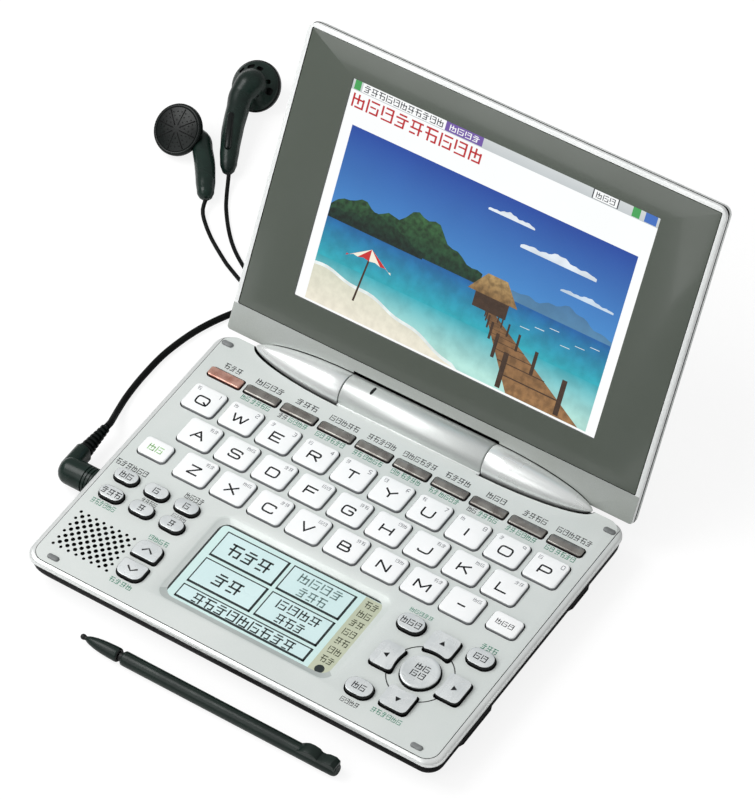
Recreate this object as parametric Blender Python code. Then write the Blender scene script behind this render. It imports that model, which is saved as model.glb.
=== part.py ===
"""Electronic dictionary with a hinged lid, a touch panel beside its keys, a stylus and earphones.

Metres, +Z up, +Y to the hinge at the back. The origin is the centre of the flat underside of the base.
The lid is modelled closed, about its own hinge axis, and an empty on that axis turns it open.
"""

import math

import bmesh
import bpy
from mathutils import Matrix, Vector

# Base case
BASE_WIDTH = 0.1436
BASE_DEPTH = 0.1011
BASE_HEIGHT = 0.0102
BASE_CORNER = 0.0052
COVER_RIM = 0.0020
COVER_PLATE = 0.0014
COVER_EDGE = 0.0010
CASE_WALL = 0.0014
CASE_FLOOR = 0.0014
CASE_SIDE_INSET = 0.0004
CASE_FOOT_INSET = 0.0046
FIT = 0.0003
OVERRUN = 0.0020
WELD = 1e-7

# Hinge
HINGE_BACK = 0.00024
HINGE_RISE = 0.00036
BARREL_RADIUS = 0.0054
TROUGH_CLEARANCE = 0.0005
SHAFT_RADIUS = 0.0015
SHAFT_LENGTH = 0.0660
BLOCK_WALL = 0.0014
HINGE_TIP_SHARE = 0.415
LEFT_SEAM_SHARE = -0.186
RIGHT_SEAM_SHARE = 0.169
REST_OPENING = math.radians(121.5)

# Lid
LID_LENGTH = 0.1007
LID_THICKNESS = 0.0070
LID_SIDE_LIP = 0.0001
LID_START = 0.0004
LID_FACE = 0.00164
LID_CORNER = 0.0032
LID_HEEL_CORNER = 0.0010
FRAME_RIM = 0.0013
FRAME_DEPTH = 0.0024
FRAME_EDGE = 0.0004
LID_WALL = 0.0013
WINDOW_THICKNESS = 0.0010
WINDOW_RECESS = 0.0001
WINDOW_MARGIN = 0.0015
STRIP_LEDGE = 0.0021
SCREEN_START_SHARE = 0.165
SCREEN_LENGTH_SHARE = 0.735
SCREEN_WIDTH_SHARE = 0.775
SCREEN_THICKNESS = 0.0030
NOTCH_CLEARANCE = 0.0006

# Keys
KEY_RISE = 0.0010
PAD_KEY_RISE = 0.0014
ROW_KEY_RISE = 0.0006
KEY_TRAVEL = 0.0005
KEY_FLANGE = 0.00035
KEY_FLANGE_THICKNESS = 0.0010
CARRIER_WIDTH = 0.0022
CARRIER_SINK = 0.0001
KEY_PITCH_X_SHARE = 0.0933
KEY_PITCH_Y_SHARE = 0.1141
KEY_WIDTH_SHARE = 0.835
KEY_DEPTH_SHARE = 0.835
KEY_CORNER = 0.0012
KEY_TAPER = 0.0002
SMALL_KEY_SHARES = (0.068, 0.066)
OVAL_KEY_SHARES = (0.055, 0.0455)
SIDE_OVAL_SHARES = (0.060, 0.058)
PAGE_KEY_SHARES = (0.060, 0.061)
ROW_KEY_SHARES = (0.0815, 0.031)
ARROW_WIDTH_SHARE = 0.0625
ARROW_REACH_SHARE = 0.105
ARROW_HOLLOW_SHARE = 0.0555
ENTER_RADIUS_SHARE = 0.0405
PAD_CENTRE_SHARES = (0.349, -0.249)

# Panel places, as shares of the base's width and depth from its centre
TOP_ROW_SHARES = (-0.4206, 0.2434)
FUNCTION_ROW_SHARES = (-0.4206, 0.3505)
SMALL_KEY_PLACE_SHARES = {"function_key": (-0.4283, 0.0163), "clear_key": (0.4248, 0.0178)}
OVAL_PLACE_SHARES = {
    "oval_key_note": (-0.4359, -0.1133),
    "oval_key_voice": (-0.4359, -0.1874),
    "oval_key_louder": (-0.3604, -0.1133),
    "oval_key_quieter": (-0.3604, -0.1874),
    "oval_key_larger": (-0.2848, -0.1133),
    "oval_key_smaller": (-0.2848, -0.1874),
}
SIDE_OVAL_PLACE_SHARES = {
    "oval_key_jump": (0.2667, -0.1197),
    "oval_key_delete": (0.4311, -0.1187),
    "oval_key_back": (0.2681, -0.3833),
}
PAGE_PLACE_SHARES = {"page_up_key": (-0.2848, -0.3032), "page_down_key": (-0.2848, -0.3843)}
BUMPER_PLACE_SHARES = ((-0.4408, -0.4619), (0.4408, -0.4619), (-0.4708, 0.4624), (0.4708, 0.4624))
BUMPER_LENGTH = 0.0040
BUMPER_WIDTH = 0.0018
BUMPER_RISE = 0.0006

# Speaker grille
GRILLE_CORNER_SHARES = (-0.4638, -0.4184)
GRILLE_PITCH_SHARE = 0.0191
GRILLE_COLUMNS = 8
GRILLE_ROWS = 6
GRILLE_HOLE_RADIUS = 0.00062
SPEAKER_WIDTH_SHARE = 0.140
SPEAKER_DEPTH_SHARE = 0.132
SPEAKER_HEIGHT = 0.0032

# Touch panel
TOUCH_CENTRE_SHARES = (-0.0032, -0.2486)
TOUCH_WIDTH_SHARE = 0.3907
TOUCH_DEPTH_SHARE = 0.3082
TOUCH_GLASS_THICKNESS = 0.0007
TOUCH_GLASS_RECESS = 0.0004
TOUCH_LEDGE = 0.0012
TOUCH_MODULE_HEIGHT = 0.0014

# Inside the base
MAT_THICKNESS = 0.0010
BOARD_THICKNESS = 0.0008
BOARD_WIDTH_SHARE = 0.795
BOARD_FRONT_SHARE = -0.415
BOARD_BACK_SHARE = 0.385
MAT_WIDTH_SHARE = 0.915
POST_RADIUS = 0.0020
POST_PLACE_SHARES = ((-0.32, -0.36), (0.34, -0.36), (-0.36, 0.33), (0.36, 0.33))
BATTERY_WIDTH_SHARE = 0.42
BATTERY_DEPTH_SHARE = 0.34
BATTERY_BACK_SHARE = 0.345
DOOR_WIDTH_SHARE = 0.50
DOOR_FRONT_SHARE = 0.03
DOOR_TRAVEL = 0.0060
BOSS_RADIUS = 0.0024
BOSS_BOTTOM = 0.0030
SCREW_PLACE_SHARES = ((-0.445, -0.445), (0.445, -0.445), (-0.45, 0.415), (0.45, 0.415))
SCREW_NAMES = ("screw_front_left", "screw_front_right", "screw_back_left", "screw_back_right")
SCREW_HEAD_RADIUS = 0.0021
SCREW_HEAD_HEIGHT = 0.0007
SCREW_SHANK_RADIUS = 0.0009
SCREW_SHANK_LENGTH = 0.0045
FOOT_HEIGHT = 0.0008
FOOT_SINK = 0.0006
FOOT_WIDTH = 0.0077
FOOT_OUTER_SHARE = 0.482
FRONT_FOOT_SHARES = (-0.351, -0.153)
BACK_FOOT_SHARES = (0.212, 0.352)
FOOT_CORNER = 0.0030
FOOT_NAMES = ("foot_front_left", "foot_back_left", "foot_front_right", "foot_back_right")

# Earphone socket and plug
SOCKET_Y_SHARE = -0.1401
SOCKET_HEIGHT = 0.0043
SOCKET_BORE = 0.00205
SOCKET_COLLAR = 0.0028
SOCKET_BODY_WIDTH = 0.0076
SOCKET_BODY_WALL = 0.00035
SOCKET_LENGTH = 0.0128
PLUG_PIN_RADIUS = 0.00175
PLUG_PIN_LENGTH = 0.0115
PLUG_RADIUS = 0.0043
PLUG_BARREL = 0.0096
PLUG_DOME = 0.0035
PLUG_ARM_RADIUS = 0.0025
PLUG_ARM_HEIGHT = 0.0034
PLUG_ARM_REACH = 0.0083
BOOT_LENGTH = 0.0107
BOOT_ROOT_RADIUS = 0.0024
BOOT_END_RADIUS = 0.0015
BOOT_RIB = 0.0003
BOOT_RIBS = 6
BOOT_OVERLAP = 0.0010

# Earphone cord
LEAD_DIAMETER = 0.0021
BRANCH_DIAMETER = 0.0013
COIL_CENTRE = (-0.028, 0.105)
COIL_MEAN_RADIUS = 0.0115
COIL_TURN_PITCH = 0.0029
COIL_LAYER_PITCH = 0.0027
COIL_SPIRAL_TURNS = 4.25
COIL_CLIMB_TURNS = 0.5
COIL_LEAST_GAP = 0.0004
LOOP_POINTS = 24
TIE_WIDTH = 0.0030
TIE_THICKNESS = 0.0004
SPLITTER_LENGTH = 0.0110
SPLITTER_WIDTH = 0.0058
SPLITTER_HEIGHT = 0.0032
BRANCH_SPACING = 0.0028

# Earbuds
BUD_RADIUS = 0.0083
BUD_RIM = 0.0026
BUD_DEPTH = 0.0076
BUD_NECK_RADIUS = 0.0042
BUD_STEM_ROOT_RADIUS = 0.0037
BUD_STEM_END_RADIUS = 0.0026
BUD_GRILLE_RADIUS = 0.0072
BUD_GRILLE_THICKNESS = 0.0012
BUD_GRILLE_SINK = 0.0006

# Stylus
STYLUS_RADIUS = 0.00225
STYLUS_TIP_LENGTH = 0.0138
STYLUS_BODY_LENGTH = 0.0755
STYLUS_NIB_RADIUS = 0.0009
STYLUS_AHEAD = 0.0097
STYLUS_START_SHARE = -0.3085
STYLUS_RIDGE_RISE = 0.0016
STYLUS_LIFT = 0.0600

# Levels and edges worked out from the sizes above
PANEL_Z = BASE_HEIGHT
COVER_UNDER = PANEL_Z - COVER_PLATE
COVER_SEAM = PANEL_Z - COVER_RIM
CASE_TOP = COVER_SEAM - FIT
FLANGE_TOP = COVER_UNDER - FIT
FLANGE_BOTTOM = FLANGE_TOP - KEY_FLANGE_THICKNESS
MAT_TOP = FLANGE_BOTTOM - KEY_TRAVEL - FIT
MAT_BOTTOM = MAT_TOP - MAT_THICKNESS
BOARD_TOP = MAT_BOTTOM - FIT
BOARD_BOTTOM = BOARD_TOP - BOARD_THICKNESS
BACK_EDGE = BASE_DEPTH / 2
FRONT_EDGE = -BASE_DEPTH / 2
HINGE_Y = BACK_EDGE - HINGE_BACK
HINGE_Z = PANEL_Z + HINGE_RISE
FLOOR_Z = -FOOT_HEIGHT
LEFT_SEAM = LEFT_SEAM_SHARE * BASE_WIDTH
RIGHT_SEAM = RIGHT_SEAM_SHARE * BASE_WIDTH
HINGE_TIP = HINGE_TIP_SHARE * BASE_WIDTH
LID_HALF = BASE_WIDTH / 2 - LID_SIDE_LIP
LID_END = LID_START + LID_LENGTH
LID_BACK = LID_FACE + LID_THICKNESS
KEY_PITCH_X = KEY_PITCH_X_SHARE * BASE_WIDTH
KEY_PITCH_Y = KEY_PITCH_Y_SHARE * BASE_DEPTH
SOCKET_Y = SOCKET_Y_SHARE * BASE_DEPTH

ROUND_SIDES = 16
BARREL_SIDES = 28
OUTLINE_STEPS = 3


def clear_scene():
    for thing in list(bpy.data.objects):
        bpy.data.objects.remove(thing, do_unlink=True)


def make_material(name, colour, roughness, metallic=0.0):
    material = bpy.data.materials.new(name)
    material.use_nodes = True
    shader = material.node_tree.nodes["Principled BSDF"]
    shader.inputs["Base Color"].default_value = (*colour, 1.0)
    shader.inputs["Roughness"].default_value = roughness
    shader.inputs["Metallic"].default_value = metallic
    return material


def link_mesh(name, mesh_data, material, parent=None):
    thing = bpy.data.objects.new(name, mesh_data)
    bpy.context.scene.collection.objects.link(thing)
    if material is not None:
        mesh_data.materials.append(material)
    thing.parent = parent
    return thing


def finish_mesh(name, shape, material, parent=None, smooth=False):
    """Turn a bmesh into an object with its faces pointing out."""
    bmesh.ops.remove_doubles(shape, verts=shape.verts, dist=WELD)
    bmesh.ops.recalc_face_normals(shape, faces=shape.faces)
    mesh_data = bpy.data.meshes.new(name)
    shape.to_mesh(mesh_data)
    shape.free()
    if smooth:
        mesh_data.shade_smooth()
        mesh_data.set_sharp_from_angle(angle=math.radians(40))
    return link_mesh(name, mesh_data, material, parent)


def place(thing, x, y, z):
    """Move an object's mesh so that its origin lies at x, y, z while the mesh stays where it is."""
    thing.data.transform(Matrix.Translation((-x, -y, -z)))
    thing.location = (x, y, z)
    return thing


def rounded(centre_x, centre_y, width, depth, radius, steps=OUTLINE_STEPS, heel_radius=None):
    """A rounded rectangle, anticlockwise; heel_radius is for its two corners at the +Y side."""
    back_radius = radius if heel_radius is None else heel_radius
    points = []
    for corner in range(4):
        corner_radius = back_radius if corner in (0, 1) else radius
        sign_x = 1 if corner in (0, 3) else -1
        sign_y = 1 if corner in (0, 1) else -1
        middle_x = centre_x + sign_x * (width / 2 - corner_radius)
        middle_y = centre_y + sign_y * (depth / 2 - corner_radius)
        for step in range(steps + 1):
            angle = math.pi / 2 * (corner + step / steps)
            points.append(
                (middle_x + corner_radius * math.cos(angle), middle_y + corner_radius * math.sin(angle))
            )
    return points


def disc(centre_x, centre_y, radius, sides=ROUND_SIDES):
    return [
        (
            centre_x + radius * math.cos(math.tau * step / sides),
            centre_y + radius * math.sin(math.tau * step / sides),
        )
        for step in range(sides)
    ]


def add_loft(shape, sections):
    """Add a closed solid through sections, each a list of points and a height."""
    rings = [[shape.verts.new((x, y, height)) for x, y in outline] for outline, height in sections]
    count = len(rings[0])
    for lower, upper in zip(rings, rings[1:]):
        for index in range(count):
            following = (index + 1) % count
            shape.faces.new((lower[index], lower[following], upper[following], upper[index]))
    shape.faces.new(list(reversed(rings[0])))
    shape.faces.new(rings[-1])


def loft(name, sections, material, parent=None, smooth=False):
    shape = bmesh.new()
    add_loft(shape, sections)
    return finish_mesh(name, shape, material, parent, smooth)


def prisms(name, outlines, bottom, top, material, parent=None):
    """One object of separate upright prisms."""
    shape = bmesh.new()
    for outline in outlines:
        add_loft(shape, [(outline, bottom), (outline, top)])
    return finish_mesh(name, shape, material, parent)


def rectangle(left, right, front, back):
    return [(left, front), (right, front), (right, back), (left, back)]


def box(name, left, right, front, back, bottom, top, material, parent=None):
    outline = rectangle(left, right, front, back)
    return loft(name, [(outline, bottom), (outline, top)], material, parent)


def add_turned(shape, profile, sides, frame):
    """Add a solid turned about the local X axis; profile is a list of places along it and radii."""
    rings = []
    for along, radius in profile:
        if radius == 0:
            rings.append([shape.verts.new(frame @ Vector((along, 0, 0)))])
            continue
        rings.append(
            [
                shape.verts.new(
                    frame
                    @ Vector(
                        (
                            along,
                            radius * math.cos(math.tau * step / sides),
                            radius * math.sin(math.tau * step / sides),
                        )
                    )
                )
                for step in range(sides)
            ]
        )
    for first, second in zip(rings, rings[1:]):
        for index in range(sides):
            following = (index + 1) % sides
            if len(first) == 1:
                shape.faces.new((first[0], second[index], second[following]))
            elif len(second) == 1:
                shape.faces.new((first[index], first[following], second[0]))
            else:
                shape.faces.new((first[index], first[following], second[following], second[index]))
    for ring in (rings[0], rings[-1]):
        if len(ring) > 1:
            shape.faces.new(ring)


def turned(name, profile, sides, frame, material, parent=None):
    shape = bmesh.new()
    add_turned(shape, profile, sides, frame)
    return finish_mesh(name, shape, material, parent, smooth=True)


def hide_tool(tool):
    tool.hide_render = True
    tool.display_type = "WIRE"
    return tool


def combine(target, tool, operation):
    step = target.modifiers.new(operation.lower(), "BOOLEAN")
    step.operation = operation
    step.object = hide_tool(tool)
    return target


def cut(target, *tools):
    for tool in tools:
        combine(target, tool, "DIFFERENCE")
    return target


def along_x(x, y, z):
    return Matrix.Translation((x, y, z))


def along_y(x, y, z):
    return Matrix.Translation((x, y, z)) @ Matrix.Rotation(math.radians(90), 4, "Z")


def along_z(x, y, z):
    return Matrix.Translation((x, y, z)) @ Matrix.Rotation(math.radians(-90), 4, "Y")


def panel_place(shares):
    return shares[0] * BASE_WIDTH, shares[1] * BASE_DEPTH


def base_outline(inset):
    radius = max(BASE_CORNER - inset, COVER_EDGE)
    return rounded(0, 0, BASE_WIDTH - 2 * inset, BASE_DEPTH - 2 * inset, radius)


# Key outlines


def key_rectangle(centre, size, grow=0.0, corner=KEY_CORNER, steps=1):
    return rounded(*centre, size[0] + 2 * grow, size[1] + 2 * grow, corner + grow, steps)


def key_oval(centre, size, grow=0.0):
    radius = size[1] / 2 + grow - FIT / 2
    return rounded(*centre, size[0] + 2 * grow, size[1] + 2 * grow, radius, 2)


def key_arrow(turn, grow=0.0):
    """An arrow key's outline: a block with a hollow inner side round the enter key."""
    pad_x, pad_y = panel_place(PAD_CENTRE_SHARES)
    half = ARROW_WIDTH_SHARE * BASE_WIDTH / 2 + grow
    reach = ARROW_REACH_SHARE * BASE_WIDTH + grow
    hollow = ARROW_HOLLOW_SHARE * BASE_WIDTH - grow
    side = math.asin(half / hollow) if half < hollow else math.pi / 2
    corner = KEY_CORNER + grow
    points = [(half, reach - corner), (half - corner, reach), (corner - half, reach), (-half, reach - corner)]
    steps = 4
    for step in range(steps + 1):
        angle = -side + 2 * side * step / steps
        points.append((hollow * math.sin(angle), hollow * math.cos(angle)))
    cosine, sine = math.cos(turn), math.sin(turn)
    return [(pad_x + x * cosine - y * sine, pad_y + x * sine + y * cosine) for x, y in points]


def key_enter(grow=0.0):
    pad_x, pad_y = panel_place(PAD_CENTRE_SHARES)
    return disc(pad_x, pad_y, ENTER_RADIUS_SHARE * BASE_WIDTH + grow)


def letter_rows():
    """The letter keys' centres and sizes, row by row; each row starts half a key further in."""
    size = (KEY_WIDTH_SHARE * KEY_PITCH_X, KEY_DEPTH_SHARE * KEY_PITCH_Y)
    start_x, start_y = panel_place(TOP_ROW_SHARES)
    rows = {}
    for row, (name, count) in enumerate((("letter_keys_top", 10), ("letter_keys_middle", 9), ("letter_keys_bottom", 8))):
        first = start_x + row * KEY_PITCH_X / 2
        rows[name] = [
            ((first + column * KEY_PITCH_X, start_y - row * KEY_PITCH_Y), size) for column in range(count)
        ]
    return rows


def size_of(shares):
    return shares[0] * BASE_WIDTH, shares[1] * BASE_DEPTH


def all_keys():
    """Every key node: its name, an outline function for each key in it, its rise and its material name."""
    keys = []
    start_x, row_y = panel_place(FUNCTION_ROW_SHARES)
    row_size = size_of(ROW_KEY_SHARES)
    row_places = [(start_x + column * KEY_PITCH_X, row_y) for column in range(10)]

    def blocks(centres_and_sizes, steps=1):
        return [
            lambda grow, centre=centre, size=size: key_rectangle(centre, size, grow, steps=steps)
            for centre, size in centres_and_sizes
        ]

    keys.append(("power_key", blocks([(row_places[0], row_size)]), ROW_KEY_RISE, "power key"))
    row_blocks = blocks([(centre, row_size) for centre in row_places[1:]])
    keys.append(("function_row_keys", row_blocks, ROW_KEY_RISE, "function keys"))
    for name, places in letter_rows().items():
        keys.append((name, blocks(places), KEY_RISE, "letter keys"))
    for name, shares in SMALL_KEY_PLACE_SHARES.items():
        small = blocks([(panel_place(shares), size_of(SMALL_KEY_SHARES))])
        keys.append((name, small, KEY_RISE, "letter keys"))
    for table, sizes in ((OVAL_PLACE_SHARES, OVAL_KEY_SHARES), (SIDE_OVAL_PLACE_SHARES, SIDE_OVAL_SHARES)):
        for name, shares in table.items():
            centre, size = panel_place(shares), size_of(sizes)
            oval = [lambda grow, centre=centre, size=size: key_oval(centre, size, grow)]
            keys.append((name, oval, PAD_KEY_RISE, "pad keys"))
    for name, shares in PAGE_PLACE_SHARES.items():
        page = blocks([(panel_place(shares), size_of(PAGE_KEY_SHARES))])
        keys.append((name, page, PAD_KEY_RISE, "pad keys"))
    turns = {"arrow_key_up": 0.0, "arrow_key_left": 0.25, "arrow_key_down": 0.5, "arrow_key_right": 0.75}
    for name, share in turns.items():
        arrow = [lambda grow, turn=math.tau * share: key_arrow(turn, grow)]
        keys.append((name, arrow, PAD_KEY_RISE, "pad keys"))
    keys.append(("enter_key", [key_enter], PAD_KEY_RISE, "pad keys"))
    return keys


def middle_of(outlines):
    xs = [x for outline in outlines for x, _ in outline]
    ys = [y for outline in outlines for _, y in outline]
    return (min(xs) + max(xs)) / 2, (min(ys) + max(ys)) / 2


def build_keys(materials):
    for name, outlines, rise, finish in all_keys():
        shape = bmesh.new()
        for outline in outlines:
            wide = outline(FIT + KEY_FLANGE)
            cap = outline(0.0)
            top = outline(-KEY_TAPER)
            add_loft(
                shape,
                [(wide, FLANGE_BOTTOM), (wide, FLANGE_TOP), (cap, FLANGE_TOP), (top, PANEL_Z + rise)],
            )
        key = finish_mesh(name, shape, materials[finish])
        centre_x, centre_y = middle_of([outline(0.0) for outline in outlines])
        if len(outlines) > 1:
            first_x, _ = middle_of([outlines[0](0.0)])
            last_x, _ = middle_of([outlines[-1](0.0)])
            carrier = box(
                name + "_carrier_tool",
                first_x,
                last_x,
                centre_y - CARRIER_WIDTH / 2,
                centre_y + CARRIER_WIDTH / 2,
                FLANGE_BOTTOM + CARRIER_SINK,
                FLANGE_TOP - CARRIER_SINK,
                None,
            )
            combine(key, carrier, "UNION")
        place(key, centre_x, centre_y, FLANGE_BOTTOM)


def key_holes():
    return prisms(
        "key_hole_tool",
        [outline(FIT) for _, outlines, _, _ in all_keys() for outline in outlines],
        COVER_UNDER - OVERRUN,
        PANEL_Z + OVERRUN,
        None,
    )


def grille_holes():
    """Holes in two interleaved square fields."""
    corner_x, corner_y = panel_place(GRILLE_CORNER_SHARES)
    pitch = GRILLE_PITCH_SHARE * BASE_WIDTH
    outlines = []
    for shift in (0, 1):
        for column in range(GRILLE_COLUMNS - shift):
            for row in range(GRILLE_ROWS - shift):
                hole_x = corner_x + (column + shift / 2) * pitch
                hole_y = corner_y + (row + shift / 2) * pitch
                outlines.append(disc(hole_x, hole_y, GRILLE_HOLE_RADIUS, 6))
    return prisms("grille_tool", outlines, COVER_UNDER - OVERRUN, PANEL_Z + OVERRUN, None)


def grille_middle():
    corner_x, corner_y = panel_place(GRILLE_CORNER_SHARES)
    pitch = GRILLE_PITCH_SHARE * BASE_WIDTH
    return corner_x + (GRILLE_COLUMNS - 1) / 2 * pitch, corner_y + (GRILLE_ROWS - 1) / 2 * pitch


# Hinge


def bullet_radius(share):
    """The radius at a share of the way from the tip to the seam."""
    return BARREL_RADIUS * (1 - (1 - share) ** 2) ** 0.6


def bullet_profile(tip, seam, grow=0.0, past_seam=0.0):
    """Places and radii from a hinge end's tip to its seam."""
    shares = (0.0, 0.03, 0.09, 0.18, 0.3, 0.45, 0.65, 0.82, 1.0)
    direction = 1 if seam > tip else -1
    profile = [(tip - direction * grow, 0.0)]
    profile += [(tip + (seam - tip) * share, bullet_radius(share) + grow) for share in shares[1:]]
    if past_seam:
        profile.append((seam + direction * past_seam, BARREL_RADIUS + grow))
    return profile


def trough_tool():
    """What the hinge ends take out of the base along its back edge."""
    shape = bmesh.new()
    frame = along_x(0, HINGE_Y, HINGE_Z)
    for tip, seam in ((-HINGE_TIP, LEFT_SEAM), (HINGE_TIP, RIGHT_SEAM)):
        profile = bullet_profile(tip, seam, TROUGH_CLEARANCE, FIT)
        add_turned(shape, profile, BARREL_SIDES, frame)
    return finish_mesh("trough_tool", shape, None)


def hinge_block(material):
    """The solid bar under the panel's back edge that carries the hinge."""
    half = HINGE_TIP + BLOCK_WALL
    front = HINGE_Y - BARREL_RADIUS - TROUGH_CLEARANCE - BLOCK_WALL
    bottom = HINGE_Z - BARREL_RADIUS - TROUGH_CLEARANCE - BLOCK_WALL
    return box("hinge_block_tool", -half, half, front, BACK_EDGE, bottom, PANEL_Z - COVER_EDGE, material)


def shaft_bore_tool(pivot, y, z):
    reach = SHAFT_LENGTH / 2 + FIT
    bore = SHAFT_RADIUS + FIT
    middle = (LEFT_SEAM + RIGHT_SEAM) / 2
    profile = [(middle - reach, bore), (middle + reach, bore)]
    return turned("shaft_bore_tool", profile, ROUND_SIDES, along_x(0, y, z), None, pivot)


def build_shaft(materials):
    middle = (LEFT_SEAM + RIGHT_SEAM) / 2
    profile = [(middle - SHAFT_LENGTH / 2, SHAFT_RADIUS), (middle + SHAFT_LENGTH / 2, SHAFT_RADIUS)]
    turned("hinge_shaft", profile, ROUND_SIDES, along_x(0, HINGE_Y, HINGE_Z), materials["steel"])


def barrel_tool():
    profile = [(LEFT_SEAM + FIT, BARREL_RADIUS), (RIGHT_SEAM - FIT, BARREL_RADIUS)]
    return turned("barrel_tool", profile, BARREL_SIDES, along_x(0, HINGE_Y, HINGE_Z), None)


def hinge_end_tool(name, tip, seam, pivot):
    """A bullet-shaped hinge end, less the room that the lid's slab takes."""
    end = turned(name, bullet_profile(tip, seam), BARREL_SIDES, along_x(0, 0, 0), None, pivot)
    slab = box(
        name + "_slab",
        -LID_HALF,
        LID_HALF,
        -LID_END,
        -LID_START + FIT,
        LID_FACE + FRAME_RIM / 2,
        LID_BACK,
        None,
        pivot,
    )
    return cut(end, slab)


# Base


def case_side_x():
    """Where the lower case's left wall stands at the socket's height."""
    spread = CASE_FOOT_INSET - CASE_SIDE_INSET
    return -BASE_WIDTH / 2 + CASE_SIDE_INSET + spread * 0.28


def touch_size():
    return TOUCH_WIDTH_SHARE * BASE_WIDTH, TOUCH_DEPTH_SHARE * BASE_DEPTH


def touch_rectangle(grow):
    centre_x, centre_y = panel_place(TOUCH_CENTRE_SHARES)
    width, depth = touch_size()
    return rectangle(
        centre_x - width / 2 - grow,
        centre_x + width / 2 + grow,
        centre_y - depth / 2 - grow,
        centre_y + depth / 2 + grow,
    )


def bumper_outlines():
    return [
        rounded(*panel_place(shares), BUMPER_LENGTH, BUMPER_WIDTH, BUMPER_WIDTH / 3, 1)
        for shares in BUMPER_PLACE_SHARES
    ]


def build_top_cover(materials):
    cover = loft(
        "base_top_cover",
        [
            (base_outline(0), COVER_SEAM),
            (base_outline(0), PANEL_Z - COVER_EDGE),
            (base_outline(COVER_EDGE / 3), PANEL_Z - COVER_EDGE / 3),
            (base_outline(COVER_EDGE), PANEL_Z),
        ],
        materials["silver"],
    )
    hollow = loft(
        "cover_hollow_tool",
        [(base_outline(CASE_WALL), COVER_SEAM - OVERRUN), (base_outline(CASE_WALL), COVER_UNDER)],
        None,
    )
    cut(cover, hollow)
    combine(cover, hinge_block(None), "UNION")
    bosses = prisms(
        "boss_tool",
        [disc(*panel_place(shares), BOSS_RADIUS, 12) for shares in SCREW_PLACE_SHARES],
        BOSS_BOTTOM,
        COVER_UNDER + FIT,
        None,
    )
    combine(cover, bosses, "UNION")
    screw_bores = prisms(
        "boss_bore_tool",
        [disc(*panel_place(shares), SCREW_SHANK_RADIUS + FIT, 8) for shares in SCREW_PLACE_SHARES],
        BOSS_BOTTOM - OVERRUN,
        SCREW_HEAD_HEIGHT + SCREW_SHANK_LENGTH + 2 * FIT,
        None,
    )
    glass_bottom = PANEL_Z - TOUCH_GLASS_RECESS - TOUCH_GLASS_THICKNESS - FIT
    window = prisms("touch_glass_tool", [touch_rectangle(FIT)], glass_bottom, PANEL_Z + OVERRUN, None)
    opening = prisms(
        "touch_opening_tool", [touch_rectangle(-TOUCH_LEDGE)], COVER_UNDER - OVERRUN, PANEL_Z, None
    )
    cut(cover, trough_tool())
    combine(cover, barrel_tool(), "UNION")
    bumpers = prisms("bumper_tool", bumper_outlines(), PANEL_Z - BUMPER_RISE, PANEL_Z + BUMPER_RISE, None)
    combine(cover, bumpers, "UNION")
    shaft_bore = shaft_bore_tool(None, HINGE_Y, HINGE_Z)
    cut(cover, shaft_bore, screw_bores, window, opening, key_holes(), grille_holes())


def case_sections(grow, shift):
    """The lower case's outline from its underside up, wider by grow and raised by shift."""
    spread = CASE_FOOT_INSET - CASE_SIDE_INSET
    shares = ((1.0, 0.0), (0.72, 0.08), (0.40, 0.27), (0.10, 0.62), (0.0, 1.0))
    return [
        (base_outline(CASE_SIDE_INSET + spread * inset - grow), shift + (CASE_TOP - shift) * height)
        for inset, height in shares
    ]


def foot_outlines(grow):
    outlines = []
    for side in (-1, 1):
        outer = side * FOOT_OUTER_SHARE * BASE_WIDTH
        centre_x = outer - side * FOOT_WIDTH / 2
        for front, back in (FRONT_FOOT_SHARES, BACK_FOOT_SHARES):
            centre_y = (front + back) / 2 * BASE_DEPTH
            depth = (back - front) * BASE_DEPTH
            outlines.append(
                rounded(centre_x, centre_y, FOOT_WIDTH + 2 * grow, depth + 2 * grow, FOOT_CORNER, 2)
            )
    return outlines


def door_region(name, shrink, material=None):
    """The battery cover's share of the case: part of the floor and of the back wall's foot."""
    half = DOOR_WIDTH_SHARE * BASE_WIDTH / 2 - shrink
    block_bottom = HINGE_Z - BARREL_RADIUS - TROUGH_CLEARANCE - BLOCK_WALL
    front = DOOR_FRONT_SHARE * BASE_DEPTH + shrink
    top = block_bottom - FIT - shrink
    return box(name, -half, half, front, BACK_EDGE + OVERRUN, -OVERRUN, top, material)


def case_shell(name, material):
    shell = loft(name, case_sections(0, 0), material)
    inner = case_sections(-CASE_WALL, CASE_FLOOR)
    inner[-1] = (inner[-1][0], CASE_TOP + OVERRUN)
    return cut(shell, loft(name + "_hollow_tool", inner, None))


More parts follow.
